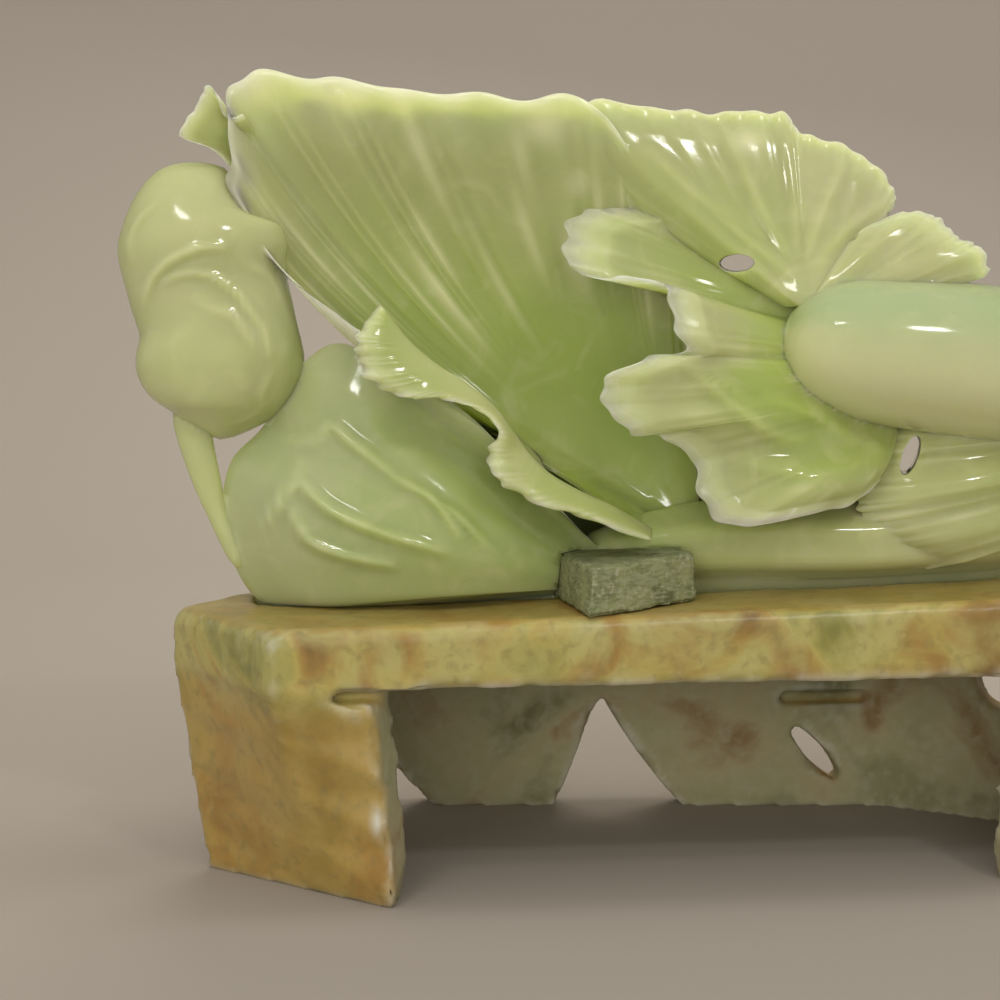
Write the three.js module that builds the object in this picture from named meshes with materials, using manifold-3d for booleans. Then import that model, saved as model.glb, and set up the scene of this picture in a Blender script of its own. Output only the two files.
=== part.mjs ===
// A cabbage carved from one block of pale green serpentine jade, lying on its side with its leaves fanned
// open to the left and its stalks gathered at the right. It rests in a shallow recess in a hewn stone stand,
// and a loose offcut of stone is pushed under its belly to stop it rolling forward.
// Millimetres, +X along the stand, +Y to the back, +Z up. The floor is z = 0.
import * as THREE from "three";
import { mergeVertices } from "three/addons/utils/BufferGeometryUtils.js";
import Module from "manifold-3d";

const wasm = await Module();
wasm.setup();

// Driving dimensions of the stand, which is one block: a slab with two front legs and a wall at the back.
const STAND_LENGTH = 300;
const STAND_DEPTH = 108;
const LEG_HEIGHT = 60;
const SLAB_THICKNESS = 19.9;
const SLAB_RISE = 7.45;
const EDGE_BEVEL = 2.4;
const FRONT_CORNER_CUT = 28;
const BACK_CORNER_CUT = 70;
const END_BEND = 21;
const FRONT_LEG_RUN = 27.5;
const FOOT_RUN = 33;
const LEG_END_SKEW = 0.55;
const FOOT_END_SKEW = 0.25;
const LEG_THICKNESS = 11;
const FOOT_SPLAY = 6;
const FOOT_TUCK = 9;
const WALL_THICKNESS = 11;
const TIP_FRONT = 6;
const TIP_BACK = 20;

// Openings and marks of the back wall.
const NOTCH_WIDTH = 41;
const NOTCH_HEIGHT = 38;
const NOTCH_PLACE = -10;
const SLIT_LENGTH = 28;
const SLIT_WIDTH = 6;
const SLIT_SLANT = -48;
const GROOVE_LENGTH = 29;
const GROOVE_HEIGHT = 4;
const GROOVE_DEPTH = 4;
const END_HOLE_WIDTH = 26;
const END_HOLE_HEIGHT = 22;
const ARCH_WIDTH = 54;
const ARCH_HEIGHT = 32;
const KERF_LENGTH = 11;
const KERF_HEIGHT = 3;

// Driving dimensions of the carving and the seat that it rests in.
const CARVING_LENGTH = 326;
const FOOT_LENGTH = 252;
const FOOT_DEPTH = 50;
const FOOT_OFFSET = 9;
const FOOT_SIDES = 36;
const FOOT_TOP = 11.2;
const RECESS_DEPTH = 2.5;
const SEAT_CLEARANCE = 1.2;
const GAP = 0.3;

// The offcut: a sawn wedge that stands on the slab's front edge.
const OFFCUT_HEIGHT = 14;
const OFFCUT_SIDE = 42;
const OFFCUT_FACE = 41;
const OFFCUT_PLACE = -35;
const OFFCUT_OVERHANG = 1.4;

const halfLength = STAND_LENGTH / 2;
const halfDepth = STAND_DEPTH / 2;
const slabTilt = Math.atan(SLAB_RISE / STAND_LENGTH);
const topHeight = LEG_HEIGHT + SLAB_THICKNESS;
const topAt = (x) => topHeight + x * Math.tan(slabTilt);
const carvingUnit = CARVING_LENGTH / 326;
const CUT_MARGIN = 5;
const SLIVER = 0.3;
const PLATE_STEPS = 4;

// The frame of the slab's sloping top, with its origin at the middle of the slab.
const seatFrame = new THREE.Matrix4()
  .makeTranslation(0, 0, topHeight)
  .multiply(new THREE.Matrix4().makeRotationY(-slabTilt));

// Turns a closed triangle mesh into a solid, whichever way its faces were wound.
function solidFrom(positions, triangles) {
  const raw = new THREE.BufferGeometry();
  raw.setAttribute("position", new THREE.Float32BufferAttribute(positions, 3));
  raw.setIndex(triangles);
  const merged = mergeVertices(raw, 1e-3);
  const place = merged.attributes.position;
  const index = merged.index.array;
  const kept = [];
  let volume = 0;
  const [a, b, c] = [new THREE.Vector3(), new THREE.Vector3(), new THREE.Vector3()];
  for (let i = 0; i < index.length; i += 3) {
    const [p, q, r] = [index[i], index[i + 1], index[i + 2]];
    if (p === q || q === r || r === p) continue;
    kept.push(p, q, r);
    a.fromBufferAttribute(place, p);
    volume += a.dot(b.fromBufferAttribute(place, q).cross(c.fromBufferAttribute(place, r)));
  }
  if (volume < 0) kept.reverse();
  const vertProperties = new Float32Array(place.array);
  return new wasm.Manifold(new wasm.Mesh({ numProp: 3, vertProperties, triVerts: new Uint32Array(kept) }));
}

function solidOf(geometry, matrix = new THREE.Matrix4()) {
  const bare = geometry.clone().applyMatrix4(matrix);
  bare.deleteAttribute("normal");
  bare.deleteAttribute("uv");
  const merged = mergeVertices(bare, 1e-3);
  return solidFrom([...merged.attributes.position.array], [...merged.index.array]);
}

const unite = (solids) => solids.reduce((whole, piece) => whole.add(piece));

// Merges the slivers that a join leaves, and drops hollows that it has sealed inside the stone.
const tidied = (solid) =>
  unite(solid.simplify(SLIVER).decompose().filter((body) => body.volume() > 1));

function geometryOf(solid) {
  const mesh = solid.getMesh();
  const geometry = new THREE.BufferGeometry();
  geometry.setAttribute("position", new THREE.Float32BufferAttribute(mesh.vertProperties, 3));
  geometry.setIndex(new THREE.BufferAttribute(mesh.triVerts, 1));
  geometry.computeVertexNormals();
  return geometry;
}

// A solid that passes through plan outlines at several heights. Each ring is a list of [x, y, z].
function loft(rings) {
  const count = rings[0].length;
  const positions = rings.flat(2);
  const triangles = [];
  for (let ring = 0; ring + 1 < rings.length; ring++) {
    for (let i = 0; i < count; i++) {
      const next = (i + 1) % count;
      const [low, lowNext] = [ring * count + i, ring * count + next];
      triangles.push(low, lowNext, low + count, lowNext, lowNext + count, low + count);
    }
  }
  const plan = rings[0].map(([x, y]) => new THREE.Vector2(x, y));
  const last = (rings.length - 1) * count;
  for (const [i, j, k] of THREE.ShapeUtils.triangulateShape(plan, [])) {
    triangles.push(i, k, j, last + i, last + j, last + k);
  }
  return solidFrom(positions, triangles);
}

// The plan outline of the slab, pulled in by inset towards its middle line.
function slabOutline(inset) {
  const [x, y] = [halfLength - inset, halfDepth - inset];
  const right = [
    [x, -TIP_FRONT],
    [x - END_BEND, TIP_BACK],
    [x - BACK_CORNER_CUT, y],
  ];
  const left = right.map(([px, py]) => [-px, py]).reverse();
  return [[-x + FRONT_CORNER_CUT, -y], [x - FRONT_CORNER_CUT, -y], ...right, ...left];
}

function makeSlab() {
  const ring = (inset, height) => slabOutline(inset).map(([x, y]) => [x, y, height(x)]);
  return loft([
    ring(0, () => LEG_HEIGHT),
    ring(0, (x) => topAt(x) - EDGE_BEVEL),
    ring(EDGE_BEVEL, topAt),
  ]);
}

// Moves each point of a plan line to its left by a distance, with mitred corners.
function offsetLine(line, distance) {
  return line.map((point, i) => {
    const before = line[Math.max(i - 1, 0)];
    const after = line[Math.min(i + 1, line.length - 1)];
    const into = new THREE.Vector2(point[0] - before[0], point[1] - before[1]).normalize();
    const out = new THREE.Vector2(after[0] - point[0], after[1] - point[1]).normalize();
    const along = into.add(out).normalize();
    return [point[0] - along.y * distance, point[1] + along.x * distance];
  });
}

// A plate that follows one plan line under the slab and another on the floor.
function plate(slabLine, floorLine, thickness) {
  const rings = [];
  for (let step = 0; step <= PLATE_STEPS; step++) {
    const rise = step / PLATE_STEPS;
    const line = floorLine.map(([x, y], i) => [
      THREE.MathUtils.lerp(x, slabLine[i][0], rise),
      THREE.MathUtils.lerp(y, slabLine[i][1], rise),
    ]);
    const z = rise * (LEG_HEIGHT + EDGE_BEVEL);
    rings.push([...line, ...offsetLine(line, thickness).reverse()].map(([x, y]) => [x, y, z]));
  }
  return loft(rings);
}

// Sawn away beside a front leg: its inner end slants, and stands further out at the front than inside.
function legEndCut(corner) {
  const ring = (run, skew, z) => {
    const x = corner + run;
    const far = x + FRONT_LEG_RUN;
    return [[x - skew * LEG_THICKNESS, -halfDepth - LEG_THICKNESS], [far, -halfDepth - LEG_THICKNESS],
      [far, 0], [x + skew * halfDepth, 0]].map(([px, py]) => [px, py, z]);
  };
  return loft([ring(FOOT_RUN, FOOT_END_SKEW, -CUT_MARGIN), ring(FRONT_LEG_RUN, LEG_END_SKEW, LEG_HEIGHT)]);
}

// A front leg wraps the cut corner under the slab and is sawn off straight at its foot. The right leg is
// the left one mirrored.
function makeFrontLegs() {
  const corner = -halfLength + FRONT_CORNER_CUT;
  const end = corner + FOOT_RUN + LEG_THICKNESS;
  const slabLine = [[-halfLength, -TIP_FRONT], [corner, -halfDepth], [end, -halfDepth]];
  const footStart = [-halfLength + FOOT_TUCK, -TIP_FRONT - 5];
  const footEnd = [end, -halfDepth - FOOT_SPLAY - 5];
  const footMiddle = [(footStart[0] + footEnd[0]) / 2, (footStart[1] + footEnd[1]) / 2];
  const leg = plate(slabLine, [footStart, footMiddle, footEnd], LEG_THICKNESS).subtract(legEndCut(corner));
  return [leg, leg.transform([...new THREE.Matrix4().makeScale(-1, 1, 1).elements])];
}

// The back wall runs round the back of the slab from one end to the other. Its foot leans in at the right.
function backWallLines() {
  const shoulder = halfLength - BACK_CORNER_CUT;
  const end = halfLength - END_BEND;
  const slabLine = [
    [end + 7, TIP_FRONT],
    [end, TIP_BACK],
    [shoulder, halfDepth],
    [-shoulder, halfDepth],
    [-end, TIP_BACK],
  ];
  const floorLine = [
    [end + 4, TIP_FRONT - 2],
    [end - 12, TIP_BACK - 2],
    [shoulder - 2, halfDepth - 10],
    [-shoulder + 2, halfDepth + FOOT_SPLAY],
    [-end + 17, TIP_BACK + 10],
  ];
  return { slabLine, floorLine };
}

function extrudeAcross(shape, depth) {
  const geometry = new THREE.ExtrudeGeometry(shape, { depth, bevelEnabled: false, curveSegments: 10 });
  return geometry.translate(0, 0, -depth / 2).rotateX(Math.PI / 2);
}

// The triangular opening between the two back feet, the half arch that lifts the wall's left end off the
// floor, the slanted slit, the blind groove and the hole at the right end.
function backWallCuts() {
  const through = STAND_DEPTH / 2;
  const notch = new THREE.Shape();
  const [left, right] = [NOTCH_PLACE - NOTCH_WIDTH / 2, NOTCH_PLACE + NOTCH_WIDTH / 2];
  const apex = NOTCH_PLACE - NOTCH_WIDTH * 0.15;
  notch.moveTo(left - CUT_MARGIN * 0.4, -CUT_MARGIN);
  notch.lineTo(apex, NOTCH_HEIGHT);
  notch.quadraticCurveTo(apex + NOTCH_WIDTH * 0.3, NOTCH_HEIGHT * 0.4, right, 0);
  notch.lineTo(right, -CUT_MARGIN);
  const slit = new THREE.Shape();
  slit.moveTo(-SLIT_LENGTH / 2, 0);
  slit.quadraticCurveTo(0, SLIT_WIDTH, SLIT_LENGTH / 2, 0);
  slit.quadraticCurveTo(0, -SLIT_WIDTH, -SLIT_LENGTH / 2, 0);
  const slant = THREE.MathUtils.degToRad(SLIT_SLANT);
  const slitPlace = halfLength * 0.36;
  const groovePlace = halfLength * 0.38;
  const wallInside = halfDepth - WALL_THICKNESS - 3;
  const groove = new THREE.BoxGeometry(GROOVE_LENGTH, 2 * GROOVE_DEPTH, GROOVE_HEIGHT);
  const hole = new THREE.Shape().absellipse(0, 0, END_HOLE_WIDTH / 2, END_HOLE_HEIGHT / 2, 0, 2 * Math.PI);
  const arch = new THREE.Shape();
  arch.moveTo(-ARCH_WIDTH, -CUT_MARGIN);
  arch.lineTo(-ARCH_WIDTH, ARCH_HEIGHT * 0.6);
  arch.quadraticCurveTo(-ARCH_WIDTH * 0.4, ARCH_HEIGHT, 0, ARCH_HEIGHT);
  arch.lineTo(ARCH_WIDTH / 2, 0);
  arch.lineTo(ARCH_WIDTH / 2, -CUT_MARGIN);
  const cut = (geometry, x, y, z, turn = 0) =>
    solidOf(geometry.rotateZ(turn), new THREE.Matrix4().makeTranslation(x, y, z));
  return [
    cut(extrudeAcross(notch, through), 0, halfDepth, 0),
    cut(extrudeAcross(slit, through).rotateY(-slant), slitPlace, halfDepth - WALL_THICKNESS, 17),
    cut(groove, groovePlace, wallInside, 35, -0.03),
    cut(extrudeAcross(hole, through), halfLength * 0.765, TIP_BACK, 45, -0.6),
    cut(extrudeAcross(arch, through), -halfLength * 0.65, halfDepth * 0.75, 0),
  ];
}

// Where the saw that cut the slab's underside ran on into the left leg.
function sawKerf() {
  const x = -halfLength + FRONT_CORNER_CUT + FRONT_LEG_RUN - KERF_LENGTH / 2 + CUT_MARGIN / 2;
  const box = new THREE.BoxGeometry(KERF_LENGTH + CUT_MARGIN, LEG_THICKNESS, KERF_HEIGHT);
  return solidOf(box, new THREE.Matrix4().makeTranslation(x, -halfDepth, LEG_HEIGHT - KERF_HEIGHT * 0.6));
}

// The carving's foot, a rounded oblong, which the recess follows with a clearance all round.
function footBlock(grow, bottom, top) {
  const points = [];
  for (let i = 0; i < FOOT_SIDES; i++) {
    const angle = (2 * Math.PI * i) / FOOT_SIDES;
    const [cos, sin] = [Math.cos(angle), Math.sin(angle)];
    const x = Math.sign(cos) * Math.sqrt(Math.abs(cos)) * (FOOT_LENGTH / 2 + grow);
    const y = Math.sign(sin) * Math.sqrt(Math.abs(sin)) * (FOOT_DEPTH / 2 + grow);
    points.push(new THREE.Vector2(x, y));
  }
  const outline = new THREE.Shape(points);
  const geometry = new THREE.ExtrudeGeometry(outline, { depth: top - bottom, bevelEnabled: false });
  return geometry.translate(0, FOOT_OFFSET, bottom);
}

function makeStand() {
  const { slabLine, floorLine } = backWallLines();
  const block = unite([makeSlab(), ...makeFrontLegs(), plate(slabLine, floorLine, WALL_THICKNESS)]);
  const recess = solidOf(footBlock(SEAT_CLEARANCE, -RECESS_DEPTH, SLAB_THICKNESS), seatFrame);
  return [...backWallCuts(), sawKerf(), recess].reduce((rest, cut) => rest.subtract(cut), block);
}

// The carving is written in its own frame: its origin is the middle of the slab's top, +Z square to it.
const smooth = (points) =>
  new THREE.CatmullRomCurve3(
    points.map(([x, y, z]) => new THREE.Vector3(x, y, z).multiplyScalar(carvingUnit)),
    false,
    "catmullrom",
    0.5,
  );

// A closed sheet with a front and a back, from a function of u across and v along the leaf.
function sheetSolid(point, across, along) {
  const positions = [];
  const triangles = [];
  const id = (side, i, j) => (side * (across + 1) + i) * (along + 1) + j;
  for (const side of [0, 1]) {
    for (let i = 0; i <= across; i++) {
      for (let j = 0; j <= along; j++) positions.push(...point(i / across, j / along, side).toArray());
    }
  }
  const quad = (a, b, c, d) => triangles.push(a, b, c, a, c, d);
  for (let i = 0; i < across; i++) {
    for (let j = 0; j < along; j++) {
      quad(id(0, i, j), id(0, i, j + 1), id(0, i + 1, j + 1), id(0, i + 1, j));
      quad(id(1, i, j), id(1, i + 1, j), id(1, i + 1, j + 1), id(1, i, j + 1));
    }
    quad(id(0, i, 0), id(0, i + 1, 0), id(1, i + 1, 0), id(1, i, 0));
    quad(id(0, i + 1, along), id(0, i, along), id(1, i, along), id(1, i + 1, along));
  }
  for (let j = 0; j < along; j++) {
    quad(id(0, 0, j + 1), id(0, 0, j), id(1, 0, j), id(1, 0, j + 1));
    quad(id(0, across, j), id(0, across, j + 1), id(1, across, j + 1), id(1, across, j));
  }
  return solidFrom(positions, triangles);
}

// A leaf blade: veins fan out from its throat to its rim. The front and back faces each bow by their own
// sag, given at a few stations across the leaf, and flutes and ruffles run along the veins. The lip, 1 for
// an even bow, says how close to the rim the bow is deepest, so that a high one rolls the rim outwards.
// The frill is the share of each vein next to the rim that lies flat, outside the bow. The roll turns the
// rim itself away to the back.
function leaf({
  rim, throat, front, back, lip = [1, 1], frill = [0, 0], roll = [0, 0], thick,
  flutes = 0, fluteDepth = 0, ruffles = 0, ruffleDepth = 0, across, along,
}) {
  const [rimLine, throatLine, frontSag, backSag] = [rim, throat, front, back].map(smooth);
  const shares = [lip, frill, roll];
  const [lips, frills, rolls] = shares.map((share) => smooth(share.map((value) => [value, 0, 0])));
  const point = (u, v, side) => {
    const place = throatLine.getPoint(u).lerp(rimLine.getPoint(u), v);
    const power = lips.getPoint(u).x / carvingUnit;
    const reach = Math.min(v / (1 - frills.getPoint(u).x / carvingUnit), 1);
    const bow = (1 - reach) * reach ** power * (power + 1) ** (power + 1) / power ** power;
    place.addScaledVector((side ? backSag : frontSag).getPoint(u), bow);
    const flute = fluteDepth * Math.cos(2 * Math.PI * flutes * u) * Math.sin(Math.PI * v) * v;
    const ruffle = ruffleDepth * Math.sin(2 * Math.PI * ruffles * u) * v ** 4;
    const depth = side * THREE.MathUtils.lerp(thick[0], thick[1], v);
    place.y += (flute + ruffle + depth) * carvingUnit + rolls.getPoint(u).x * v ** 8;
    return place;
  };
  return sheetSolid(point, across, along);
}

// How far a spiral fold stands out from the face of a roll at x and z.
function spiralFold({ centre, radius, turns, depth }, x, z) {
  const [dx, dz] = [x / carvingUnit - centre[0], z / carvingUnit - centre[1]];
  const reach = Math.min(Math.hypot(dx, dz) / radius, 1);
  return depth * Math.sin(2 * Math.PI * turns * reach + Math.atan2(dz, dx)) * Math.sin(Math.PI * reach);
}

// A fleshy stalk: rings about a curved line, with half its depth and half its height at a few stations.
function stalk({ line, radii, spiral, sides, rings }) {
  const path = smooth(line);
  const size = smooth(radii.map(([depth, height]) => [depth, height, 0]));
  const positions = [];
  const triangles = [];
  for (let ring = 0; ring <= rings; ring++) {
    const t = ring / rings;
    const along = path.getTangent(t);
    const up = along.clone().cross(new THREE.Vector3(0, 1, 0)).normalize();
    const out = up.clone().cross(along).normalize();
    const round = Math.sqrt(Math.max(0, 1 - (2 * t - 1) ** 8));
    const radius = size.getPoint(t);
    for (let i = 0; i < sides; i++) {
      const angle = (2 * Math.PI * i) / sides;
      const place = path.getPoint(t);
      place.addScaledVector(out, Math.cos(angle) * radius.x * round);
      place.addScaledVector(up, Math.sin(angle) * radius.y * round);
      if (spiral && Math.cos(angle) < 0) place.y -= spiralFold(spiral, place.x, place.z) * carvingUnit;
      positions.push(...place.toArray());
    }
  }
  for (let ring = 0; ring < rings; ring++) {
    for (let i = 0; i < sides; i++) {
      const [a, b] = [ring * sides + i, ring * sides + ((i + 1) % sides)];
      triangles.push(a, b, b + sides, a, b + sides, a + sides);
    }
  }
  return solidFrom(positions, triangles);
}

const LEAVES = [
  // The great open leaf, hollow towards the viewer, with its lower rim rolled out in two frills.
  {
    rim: [
      [-13, -31, 20], [-29, -37, 28], [-42, -38, 35], [-50, -38, 43], [-56, -38, 53], [-68, -38, 64],
      [-83, -36, 73], [-95, -33, 80], [-104, -28, 87], [-113, -22, 94], [-122, -21, 104], [-128, -17, 118],
      [-128, -12, 134], [-126, -4, 151], [-104, 1, 152], [-79, 3, 148], [-49, 4, 145], [-23, 4, 143],
      [-8, 4, 124], [9, 4, 99],
    ],
    throat: [[-12, -20, 11], [-4, -14, 15], [6, -6, 24]],
    front: [[0, 12, 0], [2, 32, -2], [2, 38, -4], [-6, 36, -4], [-10, 30, -6], [-6, 20, -4], [0, 8, 0]],
    back: [[0, 14, 0], [2, 36, -2], [2, 42, -4], [-6, 42, -4], [-10, 38, -6], [-6, 30, -4], [0, 22, 0]],
    lip: [2.4, 2.4, 2.4, 2, 1, 1, 1], frill: [0.05, 0.05, 0.05, 0.05, 0, 0, 0], roll: [0, 0, 3, 10, 5, 0, 0],
    thick: [12, 4], flutes: 9, fluteDepth: 1, ruffles: 9, ruffleDepth: 1, across: 34, along: 6,
  },
  // The frill along the great leaf's lower rim, turned outwards in two lumps.
  {
    rim: [
      [-88, -33, 86], [-94, -37, 79], [-95, -39, 73], [-92, -40, 66], [-83, -41, 61], [-72, -41, 60],
      [-63, -42, 57], [-57, -42, 51], [-60, -43, 45], [-58, -43, 38], [-48, -43, 31], [-34, -42, 26],
      [-15, -39, 18],
    ],
    throat: [
      [-86, -33, 84], [-81, -34, 77], [-76, -35, 72], [-71, -36, 68], [-66, -36, 65], [-61, -36, 61],
      [-56, -36, 56], [-52, -36, 50], [-48, -36, 44], [-42, -36, 38], [-34, -36, 33], [-24, -35, 28],
      [-13, -32, 21],
    ],
    front: [[0, -2, 0], [0, -2, 0]],
    back: [[0, -1, 0], [0, -1, 0]],
    thick: [4.5, 2.2], ruffles: 7, ruffleDepth: 1.2, across: 26, along: 2,
  },
  // The right-hand leaf, whose ruffled rim stands in front of the great one.
  {
    rim: [
      [-4, 6, 113], [-17, 6, 112], [-27, -1, 111], [-33, -10, 104], [-33, -16, 96], [-27, -20, 92],
      [-17, -26, 92], [-8, -33, 89], [-7, -39, 79], [-4, -37, 71], [-15, -42, 70], [-28, -47, 64],
      [-27, -46, 56], [-20, -45, 49],
      [-10, -40, 47], [-1, -34, 39], [1, -38, 28], [9, -43, 22], [27, -42, 24], [43, -38, 26], [54, -30, 32],
    ],
    throat: [[49, -16, 84], [59, -18, 63], [63, -18, 45]],
    front: [[0, 4, 0], [0, 10, 0], [0, 9, 0], [0, 3, 0], [0, -4, 0], [0, -7, 0], [0, -2, 0]],
    back: [[0, 20, 0], [0, 24, 0], [0, 24, 0], [0, 22, 0], [0, 20, 0], [0, 18, 0], [0, 14, 0]],
    lip: [1.5, 1.5], frill: [0.14, 0.14],
    thick: [14, 3.5], flutes: 6, fluteDepth: 0.7, ruffles: 9, ruffleDepth: 1.2, across: 28, along: 5,
  },
  // The leaf behind at the top right, spreading like a fan from the end of the front stalk.
  {
    rim: [
      [13, 0, 94], [-5, 6, 107], [-19, 10, 125], [-25, 10, 143], [-5, 10, 142], [11, 10, 140], [25, 10, 140],
      [37, 9, 139], [41, 5, 133], [51, 3, 130], [61, 1, 124], [67, 0, 117], [67, -3, 111], [61, -7, 106],
      [49, -13, 98],
    ],
    throat: [[31, -16, 82], [36, -22, 83], [43, -20, 87]],
    front: [[0, 2, 0], [0, 4, 0], [0, 4, 0], [0, 2, 0], [0, 0, 0]],
    back: [[0, 8, 0], [0, 12, 0], [0, 14, 0], [0, 12, 0], [0, 8, 0]],
    thick: [12, 3.5], flutes: 4, fluteDepth: 1.5, across: 20, along: 4,
  },
  // The small leaf tip that points to the right above the front stalk.
  {
    rim: [
      [54, -14, 104], [65, -17, 108.5], [74, -20, 107], [79, -24, 101], [86, -26, 97], [87, -24, 89],
      [74, -22, 91], [61, -20, 92], [52, -20, 90],
    ],
    throat: [[38, -21, 86], [41, -23, 80], [48, -21, 82]],
    front: [[0, -2, 0], [0, -2, 0], [0, -2, 0]],
    back: [[0, 2, 0], [0, 2, 0], [0, 2, 0]],
    thick: [8, 3], flutes: 4, fluteDepth: 0.6, across: 14, along: 4,
  },
  // The folded outer leaf at the lower left, which bellies out towards the viewer.
  {
    rim: [
      [-37, -14, -1], [-72, -14, -2], [-104, -13, -2], [-123, -10, 0], [-132, -8, 13], [-134, -8, 29],
      [-131, -8, 42], [-122, -8, 51], [-116, -9, 61], [-109, -11, 70], [-98, -14, 75], [-80, -20, 63],
      [-63, -22, 47], [-46, -22, 26],
    ],
    throat: [[-26, -12, 0], [-24, -14, 5], [-25, -14, 13]],
    front: [[0, -8, 4], [0, -20, 4], [0, -26, 2], [0, -22, 0], [0, -8, 0], [0, -2, 0]],
    back: [[0, 14, 0], [0, 18, 0], [0, 18, 0], [0, 16, 0], [0, 14, 0], [0, 10, 0]],
    thick: [14, 6], flutes: 4, fluteDepth: 1.4, across: 22, along: 6,
  },
  // The fold under the front stalk, at the lower right.
  {
    rim: [[62, -12, 49], [55, -18, 40], [50, -24, 27], [54, -26, 14], [72, -24, 4]],
    throat: [[132, -10, 52], [134, -12, 38], [130, -10, 22]],
    front: [[0, -8, 0], [0, -12, 0], [0, -10, 0]],
    back: [[0, 14, 0], [0, 16, 0], [0, 14, 0]],
    thick: [16, 8], flutes: 3, fluteDepth: 1.8, across: 12, along: 5,
  },
  // The pointed scrap of leaf at the upper left.
  {
    rim: [
      [-124, 0, 141], [-129, -3, 140], [-133, -4, 149], [-137, -5, 143], [-142, -6, 135], [-135, -6, 132],
      [-130, -5, 128], [-125, -3, 121],
    ],
    throat: [[-117, 5, 132], [-117, 4, 122]],
    front: [[0, 0, 0], [0, 0, 0]],
    back: [[0, 1, 0], [0, 1, 0]],
    thick: [5, 3], across: 10, along: 3,
  },
  // The upper leaf at the back, which closes the carving behind the great leaf.
  {
    rim: [
      [-66, 22, 56], [-82, 21, 74], [-95, 19, 93], [-107, 16, 107], [-115, 12, 122], [-117, 10, 136],
      [-111, 8, 146], [-90, 8, 145], [-60, 9, 142], [-30, 10, 140], [0, 12, 138], [24, 13, 136],
      [44, 11, 127], [58, 7, 114],
    ],
    throat: [[52, 24, 24], [72, 24, 44], [80, 18, 60]],
    front: [[0, 16, 0], [0, 26, 0], [0, 25, 0], [0, 18, 0], [0, 8, 0]],
    back: [[0, 22, 0], [0, 31, 0], [0, 31, 0], [0, 24, 0], [0, 14, 0]],
    thick: [10, 3], flutes: 6, fluteDepth: 2, ruffles: 5, ruffleDepth: 1.5, across: 20, along: 4,
  },
  // The lower leaf at the back.
  {
    rim: [
      [-52, 27, 70], [-82, 17, 66], [-106, 6, 54], [-122, 0, 40], [-128, 0, 18], [-118, 2, 0],
      [-90, 8, -1], [-50, 16, -1], [0, 20, -1],
    ],
    throat: [[52, 18, 44], [56, 22, 24], [50, 18, 4]],
    front: [[0, 8, 0], [0, 6, 0], [0, 0, 0]],
    back: [[0, 10, 0], [0, 16, 0], [0, 8, 0]],
    thick: [14, 5], flutes: 4, fluteDepth: 2, across: 16, along: 4,
  },
];

const STALKS = [
  // The smooth swollen stalk in front, whose left end carries the fan leaf.
  {
    line: [[29, -16, 75], [48, -19, 70], [88, -19, 64.5], [126, -13, 57], [156, -4, 48]],
    radii: [[15, 12], [23, 20], [26, 22.5], [23, 21], [10, 10]], sides: 14, rings: 9,
  },
  // The stalk of the great leaf, along the seat.
  {
    line: [[-34, -6, 10], [10, -9, 14], [60, -9, 13], [112, -7, 20], [154, -2, 42]],
    radii: [[12, 8], [16, 12], [18, 12], [17, 15], [9, 9]], sides: 12, rings: 7,
  },
  // The stalks at the back, upper and lower.
  {
    line: [[6, 12, 88], [40, 18, 84], [84, 17, 70], [126, 11, 58], [156, 4, 49]],
    radii: [[12, 12], [20, 18], [23, 20], [21, 19], [9, 9]], sides: 12, rings: 7,
  },
  {
    line: [[0, 14, 30], [40, 20, 30], [84, 20, 28], [126, 13, 34], [156, 3, 44]],
    radii: [[14, 20], [18, 22], [21, 22], [19, 20], [9, 9]], sides: 12, rings: 7,
  },
  // The cut root at the right end, where the stalks meet.
  {
    line: [[122, 0, 50], [142, 0, 48], [163, 0, 46]],
    radii: [[18, 20], [20, 21], [15, 16]], sides: 14, rings: 6,
  },
  // The curled leaf at the left: a hood above, and below it a roll with a spiral fold on its face.
  {
    line: [
      [-130, 2, 126], [-136, 1, 116], [-137, 0, 105], [-136, -1, 93], [-133.5, -3, 81], [-133, -5, 69],
      [-133, -4, 58], [-134, -4, 48],
    ],
    radii: [[7, 8], [13, 18.5], [17, 24], [16, 23], [16, 22.5], [17, 24], [14, 18.5], [6, 7]],
    spiral: { centre: [-133, 69], radius: 22, turns: 1.3, depth: 1.3 }, sides: 20, rings: 16,
  },
  // The thin strut that the carver left between the curled leaf and the lower one.
  {
    line: [[-143, -4, 60], [-141, -5, 48], [-138, -5, 35], [-135, -5, 25], [-128, -6, 10]],
    radii: [[4, 6], [3.5, 5], [3, 4], [3, 3], [3.5, 4]], sides: 8, rings: 6,
  },
];

// Openings carved right through the stone. Each has its place, half width and height, its turn, and the
// direction that it is bored in, in degrees to the right and up.
const OPENINGS = [
  { centre: [19, -2, 95], radii: [6, 3], turn: 0, aim: [13, 0] },
  { centre: [66, -20, 38], radii: [3, 6.5], turn: -0.35, aim: [17, -5] },
];

function opening({ centre, radii, turn, aim }) {
  const shape = new THREE.Shape().absellipse(0, 0, radii[0], radii[1], 0, 2 * Math.PI);
  const bore = { depth: 2 * STAND_DEPTH, bevelEnabled: false, curveSegments: 6 };
  const geometry = new THREE.ExtrudeGeometry(shape, bore);
  geometry.translate(0, 0, -STAND_DEPTH).rotateZ(turn).rotateX(Math.PI / 2);
  geometry.rotateX(THREE.MathUtils.degToRad(aim[1])).rotateZ(-THREE.MathUtils.degToRad(aim[0]));
  return solidOf(geometry.translate(...centre).scale(carvingUnit, carvingUnit, carvingUnit));
}

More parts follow.
